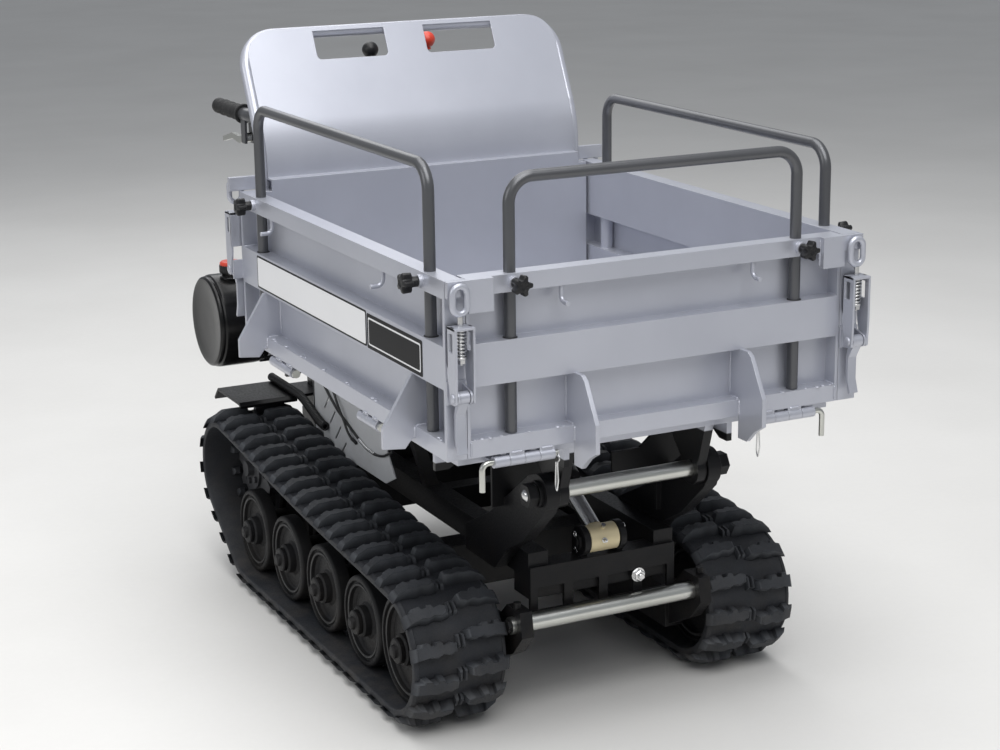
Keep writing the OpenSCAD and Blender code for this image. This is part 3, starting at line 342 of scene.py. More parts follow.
# EARTH is ground dust. The second colour is near-black: bed_paint takes it below 0.535 m and cover_paint inward of
# 0.205 m from the middle.
EARTH, NEAR_BLACK = (0.20, 0.165, 0.125), (0.007, 0.007, 0.008)
SILVER, SILVER_LOW = (0.505, 0.518, 0.575), (0.46, 0.473, 0.53)
# The lighter edge colours of silver_paint, bed_paint, black_paint, cover_paint and cast_alloy paint highlights along
# rounded edges, partly worn paint.
SPRAYED = {"patch": 4.0, "grain": 260.0, "bump": 0.015, "edge": (0.62, 0.63, 0.67, 0.5), "round_mm": 1.6,
           "spread": 0.02}
PLAIN = {"bump": 0.0, "round_mm": 0, "spread": 0.0}

silver = made_finish("silver_paint", SILVER, 0.34, 0.5, SILVER_LOW, dust=(*EARTH, 0.50, 0.62, 0.08), **SPRAYED)
bed_paint = made_finish("bed_paint", SILVER, 0.34, 0.5, SILVER_LOW, under=(*NEAR_BLACK, 0.535, 0.537), **SPRAYED)
satin = made_finish("satin_grey_tube", (0.115, 0.117, 0.124), 0.32, 0.55, (0.100, 0.102, 0.108), **PLAIN)
black = made_finish("black_paint", (0.005, 0.005, 0.006), 0.40, 0.0, (0.008, 0.008, 0.009), patch=6.0, grain=300.0,
                    edge=(0.05, 0.05, 0.05, 0.4), round_mm=1.6, dust=(*EARTH, 0.02, 0.36, 0.08), level=0.22)
gloss = made_finish("gloss_black", (0.004, 0.004, 0.0045), 0.24, 0.0, (0.006, 0.006, 0.006), grain=200.0, bump=0.02,
                    spread=0.03, level=0.28)
rubber = made_finish("track_rubber", (0.013, 0.0145, 0.018), 0.62, 0.0, (0.020, 0.022, 0.027), patch=14.0, grain=320.0,
                     bump=0.35, round_mm=1.0, dust=(*EARTH, 0.0, 0.30, 0.12), wear_and_glint=(0.065, 0.07, 0.078), level=0.35)
# wheel_black's lighter mark colour paints a highlight ring on each roller's rim.
tyre = made_finish("wheel_black", (0.008, 0.008, 0.009), 0.55, 0.0, (0.013, 0.013, 0.014), patch=18.0, grain=260.0,
                   bump=0.2, round_mm=1.0, dust=(*EARTH, 0.0, 0.26, 0.08), wear_and_glint=(0.085, 0.085, 0.085), level=0.22)
zinc = made_finish("zinc_plated_steel", (0.65, 0.655, 0.62), 0.28, 1.0, (0.57, 0.575, 0.535), patch=7.0, **PLAIN)
bright = made_finish("bright_steel", (0.68, 0.68, 0.68), 0.22, 1.0, (0.60, 0.60, 0.60), patch=12.0, **PLAIN)
cover_grey = made_finish("cover_paint", (0.56, 0.57, 0.585), 0.45, 0.0, (0.51, 0.52, 0.535), patch=6.0, grain=380.0,
                         bump=0.06, edge=(0.64, 0.65, 0.66, 0.4), dust=(*EARTH, 0.36, 0.46, 0.12),
                         within=(*NEAR_BLACK, 0.2050))
plastic = made_finish("black_plastic", (0.008, 0.008, 0.009), 0.38, 0.0, (0.011, 0.011, 0.012), patch=12.0, grain=700.0,
                      bump=0.18, level=0.4)
grip_rubber = made_finish("grip_rubber", (0.009, 0.009, 0.010), 0.62, 0.0, (0.014, 0.014, 0.014), patch=20.0,
                          grain=800.0, bump=0.25)
hose_rubber = made_finish("hose_rubber", (0.010, 0.010, 0.011), 0.44, 0.0, (0.016, 0.016, 0.016), patch=20.0,
                          grain=500.0, bump=0.12)
red = made_finish("red_plastic", (0.62, 0.055, 0.028), 0.34, 0.0, (0.54, 0.045, 0.022), patch=14.0, grain=500.0,
                  round_mm=1.0)
cast = made_finish("cast_alloy", (0.27, 0.27, 0.275), 0.52, 0.6, (0.21, 0.21, 0.215), patch=10.0, grain=260.0,
                   bump=0.35, edge=(0.42, 0.42, 0.42, 0.5), round_mm=1.4)
burnt = made_finish("burnt_steel", (0.14, 0.12, 0.10), 0.50, 0.7, (0.20, 0.15, 0.11), patch=8.0, bump=0.15)
white_film = made_finish("white_film", (0.80, 0.80, 0.81), 0.32, 0.0, (0.78, 0.78, 0.79), patch=7.0, **PLAIN)
black_film = made_finish("black_film", (0.006, 0.006, 0.007), 0.40, 0.0, (0.008, 0.008, 0.009), patch=7.0, level=0.12,
                         **PLAIN)

NODE_FINISH = {
    silver: ("rear_shield side_panel_right side_panel_left front_gate lever_front_right lever_front_left "
             "lever_rear_right lever_rear_left"),
    bed_paint: "bed_floor",
    satin: "hoop_right hoop_left hoop_front handlebar sprocket_right sprocket_left",
    black: "main_frame track_frames frame_fasteners rear_fenders engine_cowl control_console cylinder_barrel",
    zinc: "front_shafts hinge_pins steering_lever_right steering_lever_left",
    cover_grey: "side_covers",
    cast: "engine_block gearbox valve_block",
    burnt: "muffler",
    rod_finish(): "cylinder_rod",
}


def smoothing():
    """Node group that joins a solid's loose triangles and shades it smooth up to 30 degrees."""
    group = bpy.data.node_groups.new("joined_and_smooth", "GeometryNodeTree")
    group.interface.new_socket("Geometry", in_out="INPUT", socket_type="NodeSocketGeometry")
    group.interface.new_socket("Geometry", in_out="OUTPUT", socket_type="NodeSocketGeometry")
    kinds = ("NodeGroupInput", "GeometryNodeMergeByDistance", "GeometryNodeSetShadeSmooth",
             "GeometryNodeSetShadeSmooth", "NodeGroupOutput")
    chain = [group.nodes.new(kind) for kind in kinds]
    for a, b in zip(chain, chain[1:]):
        group.links.new(a.outputs[0], b.inputs[0])
    chain[1].inputs["Distance"].default_value = 1e-5
    chain[3].domain = "EDGE"
    chain[3].inputs["Shade Smooth"].default_value = False
    angle = group.nodes.new("GeometryNodeInputMeshEdgeAngle")
    sharp = group.nodes.new("FunctionNodeCompare")
    sharp.operation = "GREATER_THAN"
    sharp.inputs[1].default_value = np.radians(30)
    group.links.new(angle.outputs[0], sharp.inputs[0])
    group.links.new(sharp.outputs[0], chain[3].inputs["Selection"])
    return group


smooth_group = smoothing()
for finish, names in NODE_FINISH.items():
    for name in names.split():
        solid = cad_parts[name]
        if not solid.material_slots:
            solid.data.materials.append(finish)
        for slot in solid.material_slots:
            slot.material = finish
        solid.modifiers.new("joined", "NODES").node_group = smooth_group


# Tracks

CIRCLES = np.array([IDLER, (WHEEL_Y[3], WHEEL_Z, WHEEL_R), DRIVE])
STAGGER, EDGE_FROM, EDGE_RUN = 0.28, 64.0, 24.0
BLOCK = [(14, -6), (15, 6), (27, 10), (40, 7), (52, 11), (66, 9), (88, 13), (88, -7), (78, -8), (76, -13), (66, -13),
         (63, -7), (53, -8), (51, -13), (41, -12), (38, -6), (29, -8), (24, -9)]
RIB = [(2.5, -9), (2.5, 9), (7.5, 10), (7.5, -8)]
HORN = [(13, -8), (13, 8), (27, 8), (27, -8)]


def track_loop():
    """Three circles joined by outer tangents: for each, the tangent's normal angle and length, and the
    arc that follows it. The normal's angle is the line of centres less 90 degrees plus arcsin of the
    difference of radii over the distance."""
    c, r = CIRCLES[:, :2], CIRCLES[:, 2]
    d = np.roll(c, -1, 0) - c
    dist = np.linalg.norm(d, axis=1)
    step = r - np.roll(r, -1)
    normal = np.unwrap(np.arctan2(d[:, 1], d[:, 0]) - np.pi / 2 + np.arcsin(step / dist), period=TAU)
    normal += TAU * np.array([0, 0, normal[2] < normal[1]])
    turn = np.append(normal[1:], normal[0] + TAU) - normal
    run = np.sqrt(dist ** 2 - step ** 2)
    arc = turn * (np.roll(r, -1) + BELT_T)
    return normal, run, arc


LOOP_N, LOOP_RUN, LOOP_ARC = track_loop()
LOOP_L = LOOP_RUN.sum() + LOOP_ARC.sum()
PITCH = LOOP_L / LUGS


def on_loop(s, e):
    """Point [y, z] at length s round the track's outer face and offset e from the wheels' rims; the
    upper run hangs by SAG times the squared sine of its share."""
    s, e = np.broadcast_arrays(np.mod(s, LOOP_L), e)
    y, z = np.zeros(s.shape), np.zeros(s.shape)
    start = 0.0
    for i in range(3):
        j = (i + 1) % 3
        a, (cy, cz, r), (dy, dz, q) = LOOP_N[i], CIRCLES[i], CIRCLES[j]
        on = (s >= start) & (s < start + LOOP_RUN[i])
        t = s - start
        hang = SAG * np.sin(np.pi * t / LOOP_RUN[i]) ** 2 if i == 2 else 0.0
        y = np.where(on, cy + (r + e - hang) * np.cos(a) - t * np.sin(a), y)
        z = np.where(on, cz + (r + e - hang) * np.sin(a) + t * np.cos(a), z)
        start += LOOP_RUN[i]
        on = (s >= start) & (s <= start + LOOP_ARC[i] + 1e-6)
        b = a + (s - start) / (q + BELT_T)
        y = np.where(on, dy + (q + e) * np.cos(b), y)
        z = np.where(on, dz + (q + e) * np.sin(b), z)
        start += LOOP_ARC[i]
    return y, z


def belt_body():
    """Belt carcass: a flat section with rounded edges and a moulded line near each, carried round the loop."""
    half, r, low_r, line = TRACK_W / 2, 4.0, 2.5, BELT_T + 1.6
    turn = np.linspace(0, np.pi / 2, 5)
    rim = np.stack([half - r + r * np.sin(turn), BELT_T - r + r * np.cos(turn)], -1)
    low = np.stack([half - low_r + low_r * np.cos(turn), low_r - low_r * np.sin(turn)], -1)
    side = np.concatenate([[(half - 9, BELT_T), (half - 8, line), (half - 6, line)], rim[1:], low])
    section = np.concatenate([side, (side * (-1, 1))[::-1]])
    s = np.linspace(0, LOOP_L, LUGS * 8, endpoint=False)
    y, z = on_loop(s[:, None], section[None, :, 1])
    x = TRACK_X + np.broadcast_to(section[None, :, 0], y.shape)
    return grid(np.stack([x, y, z], -1), True, True)


def lug_row(outline, rises, grow, phase, base):
    """One lug to each pitch: an outline [across, along] at each rise above base, grown about its middle
    by the matching factor, half as high at the belt's edge, wrapped round the loop; returns the shape and
    a wear mark per point."""
    outline = np.asarray(outline, float)
    middle = outline.mean(0)
    m, levels = len(outline), len(rises)
    rings = middle + (outline - middle)[None] * np.asarray(grow)[:, None, None]
    s = (np.arange(LUGS) + phase)[:, None, None] * PITCH + rings[None, :, :, 1]
    fall = 1 - 0.5 * np.clip((np.abs(rings[..., 0]) - EDGE_FROM) / EDGE_RUN, 0, 1)
    e = base + np.asarray(rises, float)[None, :, None] * fall[None]
    y, z = on_loop(s, e)
    x = TRACK_X + np.broadcast_to(rings[None, :, :, 0], y.shape)
    points = np.stack([x, y, z], -1).reshape(-1, 3)
    one = grid(np.zeros((levels, m, 3)), False, True)[1] + [list(range((levels - 1) * m, levels * m))]
    faces = [[i + k * levels * m for i in f] for k in range(LUGS) for f in one]
    wear_and_glint = np.tile(np.repeat([0.0] * (levels - 2) + [1.0, 0.35], m), LUGS)
    return (points, faces), wear_and_glint


def flipped(outline):
    """The outline on the other half of the track, run round the other way."""
    return [(-p, q) for p, q in outline][::-1]


def track(word, left):
    """A moulded track: carcass, a left and a right block in each pitch set off by STAGGER of it, two small
    ribs between them, and two rows of guide horns inside."""
    body = belt_body()
    tall = (-1, LUG_H - 2, LUG_H), (1.22, 1.03, 0.93)
    low = (-1, 10, 12), (1.5, 1.1, 0.8)
    inner = (1, -HORN_H + 2, -HORN_H), (1.3, 0.9, 0.7)
    rows = [lug_row(BLOCK, *tall, STAGGER, BELT_T), lug_row(flipped(BLOCK), *tall, 0.0, BELT_T)]
    rows += [lug_row(outline, *low, STAGGER / 2, BELT_T) for outline in (RIB, flipped(RIB))]
    rows += [lug_row(outline[::-1], *inner, 0.0, 0.0) for outline in (HORN, flipped(HORN))]
    shapes = [body] + [shape for shape, _ in rows]
    marks = np.concatenate([np.zeros(len(body[0]))] + [wear_and_glint for _, wear_and_glint in rows])
    if not left:
        shapes = [mirrored(s) for s in shapes]
    put("rubber_track_" + word, shapes, rubber, "chassis", ("track_" + word,), 40, 0.0, marks)


# Wheels


def wheel(node, centre, r, left):
    """Twin-disc roller: tyre with rounded shoulders, dished face with a painted highlight ring near its rim, hub and
    cap.
    """
    rim, hub, edge, width, sides = r - 15, 30, 6, 60, 44
    turn = np.linspace(0, np.pi / 2, 5)
    shoulder = np.stack([r - edge + edge * np.sin(turn), width - edge + edge * np.cos(turn)], -1)
    dish = [(15.2, 66), (hub - 3, 66), (hub, 63), (hub, 50), (hub + 6, 46), (rim - 12, 46), (rim - 7, 50),
            (rim - 6, 57), (rim - 2, 58), (rim, 54), (rim + 4, 54), (rim + 5, width)]
    half = np.concatenate([dish, shoulder, [(r, 32), (rim, 32), (rim - 2, 40), (hub + 8, 40)]])
    profile = np.concatenate([half, (half * (1, -1))[::-1]])
    shape = turned(profile, (TRACK_X, *centre), "x", sides)
    # This mask marks a thin ring near each face's rim that wheel_black paints lighter: a painted highlight.
    painted_rim_highlight = np.where(np.abs(profile[:, 1]) > 57.5, 1.0, 0.0) * (np.abs(profile[:, 0] - (rim - 3)) < 1.5)
    cap = turned([(0.5, 84), (9, 84), (12, 82), (13, 77), (22, 76), (24, 74), (24, 66.5), (15.1, 66.5)],
                 (TRACK_X, *centre), "x", 24)
    if not left:
        shape, cap = mirrored(shape), mirrored(cap)
    put(node + "_roller", [shape], tyre, node, (node,), 30, 0.0, np.repeat(painted_rim_highlight, sides))
    put(node + "_cap", [cap], tyre, "chassis", (), 30, 0.0, np.zeros(len(cap[0])))


TRACK_SIDES = (("left", True), ("right", False))
for word, left in TRACK_SIDES:
    track(word, left)
for word, left in TRACK_SIDES:
    wheel("idler_" + word, IDLER[:2], IDLER[2] - BELT_GAP, left)
    for k, y in enumerate(WHEEL_Y):
        wheel("wheel_%s_%d" % (word, k + 1), (y, WHEEL_Z), WHEEL_R - BELT_GAP, left)


# Star knobs

KNOB_R, KNOB_H = 14.2, 26.0


def star_knob(node, seat, out):
    """Five-lobed knob: a radius swelled by a flattened five-fold cosine, domed on top, on a collar."""
    turn = np.linspace(0, np.pi / 2, 6)
    dome = np.stack([KNOB_R - 4 * (1 - np.cos(turn)), KNOB_H + 4 * np.sin(turn)], -1)
    profile = np.concatenate([[(8.8, 0.6), (9, 10), (9.5, 12), (KNOB_R - 2, 12.2), (KNOB_R - 0.5, 13.5)], dome,
                              [(7, KNOB_H + 4.4), (5, KNOB_H + 3), (0.5, KNOB_H + 3)]])

    def lobes(a, along):
        """Five swells that fade out at the collar and at the top."""
        fade = np.clip((along - 11) / 1.5, 0, 1) * np.clip(KNOB_H + 4.2 - along, 0, 1)
        return 1 + 0.27 * np.tanh(1.8 * np.cos(5 * a)) * fade

    shape = turned(profile, (0, 0, 0), "z", 60, lobes)
    screw = turned([(0.5, -12), (4, -12), (4, 1)], (0, 0, 0), "z", 14)
    out, up = np.asarray(out, float), np.array([0.0, 0, 1])
    matrix = np.stack([np.cross(up, out), up, out], -1)
    put(node + "_star", [placed(s, matrix, seat) for s in (shape, screw)], plastic, node, (node,), 38)


for word, s in SIDES:
    star_knob("knob_gate_" + word, (s * HOOP_W / 2, -8, KNOB_Z), (0, -1, 0))
    star_knob("knob_%s_front" % word, (s * (XO + 8), SIDE_LEGS[0], KNOB_Z), (s, 0, 0))
    star_knob("knob_%s_rear" % word, (s * (XO + 8), SIDE_LEGS[1], KNOB_Z), (s, 0, 0))


# Latch hooks

SPRING_Z0, SPRING_Z1, SPRING_R, SPRING_WIRE, SPRING_TURNS = 757.0, 801.9, 8.2, 1.75, 7
STEM_Y, LOOP_Y = -20.0, -19.75


def window_plate(outer, inner, lo, hi, n=56):
    """Plate across x with a window: both outlines are cut into n equal steps and the four rings of their
    front and back edges are joined into one closed band."""

    def stepped(loop):
        """n points at equal steps round a closed line."""
        loop = np.concatenate([loop, loop[:1]]).astype(float)
        run = np.append(0, np.cumsum(np.linalg.norm(np.diff(loop, axis=0), axis=1)))
        at = np.linspace(0, run[-1], n, endpoint=False)
        return np.stack([np.interp(at, run, loop[:, k]) for k in (0, 1)], -1)

    rings = np.stack([stepped(np.asarray(q)) for q in (outer, inner, inner, outer)])
    ends = np.array([hi, hi, lo, lo], float)[:, None] * np.ones(n)
    return grid(np.stack((ends, rings[..., 0], rings[..., 1]), -1), True, True)


def latch_spring():
    """Coil: a round wire on a helix whose first and last half turns lie flat."""
    a = np.linspace(0, TAU * (SPRING_TURNS + 1), 24 * (SPRING_TURNS + 1))
    share = np.clip((a / TAU - 0.5) / SPRING_TURNS, 0, 1)
    low, high = SPRING_Z0 + SPRING_WIRE + 0.1, SPRING_Z1 - SPRING_WIRE - 0.1
    path = np.stack([SPRING_R * np.cos(a), STEM_Y + SPRING_R * np.sin(a), low + (high - low) * share], -1)
    return wire(path, SPRING_WIRE, (0, 0, 1), 8)


def latch_loop():
    """Pull loop: a flattened round bar carried round a stadium."""
    r = LATCH_HALF - 5.5
    a = np.linspace(0, np.pi, 13)
    top = np.stack([r * np.cos(a), 0 * a, LOOP_HI - LATCH_HALF + r * np.sin(a)], -1)
    low = np.stack([-r * np.cos(a), 0 * a, LOOP_LO + LATCH_HALF - r * np.sin(a)], -1)
    path = np.concatenate([top, low]) + (0, LOOP_Y, 0)
    return carried(path, ring(1.0, 14) * (5.4, 4.7), (0, 1, 0), True)


def latch_hook(node, s, rear):
    """Hook of a toggle latch: two windowed cheeks, back and top plates, sliding stem with its loop,
    spring, washer and nut."""
    foot, knee, z, at = LATCH_Z - 11, LATCH_Z + 36, SPRING_Z0, (0, STEM_Y, 0)
    lo, hi = SPRING_Z0 + 8, SPRING_Z1 - 6
    outer = rounded([(-LATCH_V, foot), (-14, foot), (-14, LATCH_Z + 6), (-6.2, knee), (-6.2, HOUSE_Z),
                     (-38, HOUSE_Z), (-38, knee), (-36, LATCH_Z), (-36, foot), (-LATCH_V, foot)], 6)
    window = [(-20, lo), (-13, lo), (-13, hi), (-27, hi), (-27, lo)]
    cheek = window_plate(outer[:-1], window, LATCH_HALF - CHEEK, LATCH_HALF)
    back = bar((-LATCH_HALF, -9, LATCH_Z + 48), (LATCH_HALF, -6, HOUSE_Z))
    top = bar((-LATCH_HALF, -38, HOUSE_Z - CHEEK), (LATCH_HALF, -6, HOUSE_Z))
    rivet = turned([(8, 18.1), (7.6, 19.6), (6, 20.8), (0.4, 21.2)], (0, -LATCH_V, LATCH_Z), "x", 20)
    plates = [cheek, mirrored(cheek), back, top, latch_loop(), rivet, mirrored(rivet)]
    stem = turned([(0.4, z - 14), (4.5, z - 14), (4.5, LOOP_LO + 2)], at, "z", 16)
    washer = turned([(4.6, z - 5), (10, z - 5), (10.5, z - 4.4), (10.5, z - 0.6), (10, z - 0.1), (4.6, z - 0.1)],
                    at, "z", 24)
    nut = turned([(4.6, z - 12), (7.4, z - 12), (8, z - 11.4), (8, z - 5.6), (7.4, z - 5)], at, "z", 6)
    turn = np.diag([s, -1.0 if rear else 1.0, 1.0])
    by = (s * (POST_C + REAR_OUT), BED_L, REAR_UP) if rear else (s * POST_C, 0, 0)
    put(node + "_cheeks", [placed(p, turn, by) for p in plates], silver, node, (node,), 34, 0.6)
    put(node + "_coil", [placed(p, turn, by) for p in (latch_spring(), stem, washer, nut)], bright, node, crease=34)


for word, s in SIDES:
    latch_hook("hook_front_" + word, s, False)
    latch_hook("hook_rear_" + word, s, True)


# Shield

KNEE_AT, KNEE_R, LEAN, SHEET_X = (1154.0, 915.0), 214.4, np.radians(26), 344.2
SEAM_HALF = 70


def shield_seam():
    """Skin where the shield's bend runs into its flat: it rises 0.3 mm out of the sheet and sinks back."""
    s = np.linspace(-SEAM_HALF, SEAM_HALF, 36)[:, None]
    a = LEAN + np.minimum(s, 0) / KNEE_R
    out = np.concatenate([-np.cos(a), np.sin(a)], -1)
    face = KNEE_AT + KNEE_R * out + np.maximum(s, 0) * (np.sin(LEAN), np.cos(LEAN))
    rise = 0.42 * np.cos(np.pi * s / (2 * SEAM_HALF)) ** 2 - 0.12
    return plate(np.concatenate([face + rise * out, (face - out)[::-1]]), -SHEET_X, SHEET_X, "x")


put("shield_skin", [shield_seam()], silver, "bed", crease=20)


# Grips, hoses and plates


def grip(s):
    """Moulded grip: flange, then a barrel whose radius swells in four finger waves under fine ribs, and a
    domed end."""
    start, last = GRIP_START, GRIP_END - 8
    y = np.linspace(start + 7, last, 150)
    share = (y - y[0]) / (y[-1] - y[0])
    ribs = 0.55 * np.tanh(4 * np.cos(TAU * 26 * share)) * (np.abs(share - 0.5) < 0.44)
    r = 16.0 + 0.7 * np.cos(TAU * 4 * share) + ribs
    turn = np.linspace(0, np.pi / 2, 7)[1:]
    dome = np.stack([9 + 8 * np.cos(turn), last + 8 * np.sin(turn)], -1)
    flange = [(14.4, start), (19.5, start), (21, start + 1.5), (21, start + 4.5), (19.5, start + 6.5),
              (17.5, start + 7)]
    end = [(5, GRIP_END), (4, GRIP_END - 2), (0.4, GRIP_END - 2)]
    profile = np.concatenate([flange, np.stack([r, y], -1)[1:], dome, end])
    return turned(profile, (s * GRIP_X, 0, BAR_Z), "y", 36)


put("ribbed_grips", [grip(-1), grip(1)], grip_rubber, "chassis", ("handle_grips",), 40)


def fixed_hose(name, path, outer, bore, stands_for=(), scale=None, sides=14):
    """A hose clipped along its whole way: outer skin along the path and bore back along it, joined at
    both ends."""
    rows = len(path), sides, 3
    skin = wire(path, outer, ACROSS, sides, False, scale)[0].reshape(rows)
    hole = wire(path, bore, ACROSS, sides)[0].reshape(rows)
    shape = grid(np.concatenate([skin, hole[::-1]]), True, True)
    put(name, [shape], hose_rubber, "chassis", stands_for, 40)


CONDUIT_X, CONDUIT_Y, CONDUIT_Z, CONDUIT_RISE, CONDUIT_RIBS = -218.3, (1000.0, 1316.0), 387.8, 34.0, 56


def hoses():
    """Ribbed conduit, which rises by a smooth step over its first half and is drawn in between its ribs,
    and three straight hoses."""
    t = np.linspace(0, 1, CONDUIT_RIBS * 6 + 1)
    u = np.minimum(1, 2 * t)
    path = np.stack([np.full(len(t), CONDUIT_X), CONDUIT_Y[0] + (CONDUIT_Y[1] - CONDUIT_Y[0]) * t,
                     CONDUIT_Z - CONDUIT_RISE * (1 - 3 * u ** 2 + 2 * u ** 3)], -1)
    ribs = 1 - 0.102 * (1 - np.tanh(3 * np.cos(TAU * CONDUIT_RIBS * t)))
    fixed_hose("ribbed_conduit", path, 9.5, 5.0, ("hydraulic_hoses",), ribs)
    share = np.linspace(0, 1, 24)[:, None]
    for name, start, way, outer in (("rail_hose", (130, 670, RAIL_TOP + 7.3), (0, 310, 0), 7.0),
                                    ("valve_hose_inner", (72, 1188.4, 330.0), (0, 0, 439.7), 8.0),
                                    ("valve_hose_outer", (130, 1201, RAIL_TOP + 0.3), (0, 0, 457.4), 8.0)):
        fixed_hose(name, np.array(start) + share * way, outer, outer / 2)


hoses()


def side_film(y0, y1, z0, z1, off):
    """Bare film with round corners on the right side panel's rib, off from its face."""
    outline = rounded([(y0 + 9, z0), (y1, z0), (y1, z1), (y0, z1), (y0, z0), (y0 + 9, z0)], 4)[:-1]
    return plate(outline, -XO - off, -XO - off + 0.3, "x")


FILMS = (("plain_plate_rim", black_film, ((322, 866, 700, 764, 0.4),)),
         ("plain_plate_white", white_film, ((325.5, 862.5, 703.5, 760.5, 0.75),)),
         ("dark_plate", black_film, ((88, 319, 699, 761, 0.4), (97.5, 309.5, 708.5, 751.5, 1.1))),
         ("dark_plate_line", white_film, ((94.5, 312.5, 705.5, 754.5, 0.75),)))
for name, film, spans in FILMS:
    put(name, [side_film(*span) for span in spans], film, "side_panel_right", crease=34)


def smooth_line(points, steps=8):
    """Curve through points, each piece a cubic whose slope at a point is half the step between its
    neighbours."""
    p = np.concatenate([points[:1], points, points[-1:]]).astype(float)
    t = np.linspace(0, 1, steps, endpoint=False)[:, None, None]
    a, b, c, d = (p[k:len(p) - 3 + k][None] for k in range(4))
    line = 0.5 * (2 * b + (c - a) * t + (2 * a - 5 * b + 4 * c - d) * t ** 2 + (3 * b - a - 3 * c + d) * t ** 3)
    return np.concatenate([line.transpose(1, 0, 2).reshape(-1, 3), p[-1:]])


CABLE_X, OVER_X, CABLE_R = -211.3, -217.1, 2.6
LOW_RUN = ((1060, 463), (1020, 440), (977, 417), (940, 400), (897, 387), (865, 377), (833, 368), (796, 360),
           (755, 358), (715, 365), (690, 375))
CABLE_LOW = np.array([(CABLE_X, y, z) for y, z in LOW_RUN] + [(-205.0, 677, 383)])
CABLE_HIGH = np.array([(CABLE_X, 1060, 490), (CABLE_X, 1005, 463), (CABLE_X - 1, 965, 440), (CABLE_X - 4, 942, 426),
                       (OVER_X, 919, 409), (OVER_X, 897, 391), (OVER_X, 880, 374), (CABLE_X - 3, 866, 362),
                       (CABLE_X, 848, 356)])
CABLES = (("control_cables", (CABLE_LOW, CABLE_HIGH), CABLE_R, 12, hose_rubber),
          ("cable_ferrule", (CABLE_LOW[6:9],), CABLE_R + 0.7, 14, bright),
          ("cable_end", (CABLE_HIGH[-2:],), CABLE_R + 0.8, 14, plastic))
for name, runs, r, sides, finish in CABLES:
    put(name, [wire(smooth_line(run), r, ACROSS, sides) for run in runs], finish, "chassis", crease=40)


def leg_painted_shadow_ring(x, y):
    """Near-black ring, in the hose rubber finish, round a hoop's leg where it enters the rib: a painted shadow of the
    gap in the rib's hole.
    """
    section = [(10.3, 0.05), (12.6, 0.05), (12.6, 0.7), (11.8, 1.1), (10.3, 1.1)]
    return turned([(r, RIB_HI + z) for r, z in section], (x, y, 0), "z", 28)


# Painted shadow: near-black rings where the hoop legs enter the ribs.
for word, s in SIDES:
    legs = [leg_painted_shadow_ring(s * (XO - RAIL / 2), y) for y in SIDE_LEGS]
    put("leg_painted_shadow_rings_" + word, legs, hose_rubber, "side_panel_" + word, crease=40)
legs = [leg_painted_shadow_ring(s * HOOP_W / 2, RAIL / 2) for _, s in SIDES]
put("leg_painted_shadow_rings_gate", legs, hose_rubber, "front_gate", crease=40)


# Welds and clips

SILL = BED_Z + RAIL
RUNGS = (SILL, RIB_LO, RIB_HI, TOP_Z - RAIL)
RIPPLE = 3.4


def weld(a, b, r=2.6):
    """Weld bead between two points: a bar whose radius ripples every RIPPLE mm and thins at its ends."""
    a, b = np.asarray(a, float), np.asarray(b, float)
    length = np.linalg.norm(b - a)
    share = np.linspace(0, 1, max(int(length / 0.85), 8))
    size = (1 + 0.16 * np.cos(TAU * length * share / RIPPLE)) * np.clip(6 * np.minimum(share, 1 - share) + 0.35, 0, 1)
    path = a + share[:, None] * (b - a)
    across = (0, 0, 1) if abs((b - a)[2]) < 0.7 * length else ACROSS
    return wire(path, r, across, 8, False, size)


def lump(x, y, z, r):
    """Flattened dome of weld on a level face."""
    a = np.linspace(0, np.pi / 2 - 0.05, 6)
    return turned(np.stack([r * np.cos(a), z - 0.3 + 0.45 * r * np.sin(a)], -1), (x, y, 0), "z", 14)


def both(shapes):
    """Shapes and their mirror images."""
    return shapes + [mirrored(s) for s in shapes]


def gate_welds():
    """Beads along the gate's gussets, hinge knuckles, end posts and keeper plates, and drops on its sill."""
    lines = []
    for x in (GUSSET_X - 4, GUSSET_X + 4):
        lines += [weld((x, -0.2, BED_Z + 2), (x, -0.2, SILL - 2)),
                  weld((x, RAIL, SILL + 3), (x, RAIL, RIB_LO - 4)),
                  weld((x, 3, SILL), (x, RAIL - 3, SILL))]
    for k in (0, 2):
        x = GATE_HINGE_X + KNUCKLE * k
        lines.append(weld((x + 3, -0.3, BED_Z - 0.5), (x + KNUCKLE - 3, -0.3, BED_Z - 0.5), 2.2))
    post, keeper = GATE_X - 6, GATE_X - 45
    lines += [weld((post, 3, z), (post, RAIL - 3, z), 2.2) for z in RUNGS]
    lines.append(weld((post, -0.2, BED_Z + 2), (post, -0.2, SILL - 2), 2.0))
    lines.append(weld((keeper, -0.4, TOP_Z - 52), (keeper, -0.4, TOP_Z - 4), 2.4))
    spots = (350, 336, 322, 300, 250, 196, 184)
    lines += [lump(x, 3 + 2 * (k % 2), SILL, 4 + k % 3) for k, x in enumerate(spots)]
    return both(lines)


put("gate_weld_beads", gate_welds(), silver, "front_gate", crease=50)


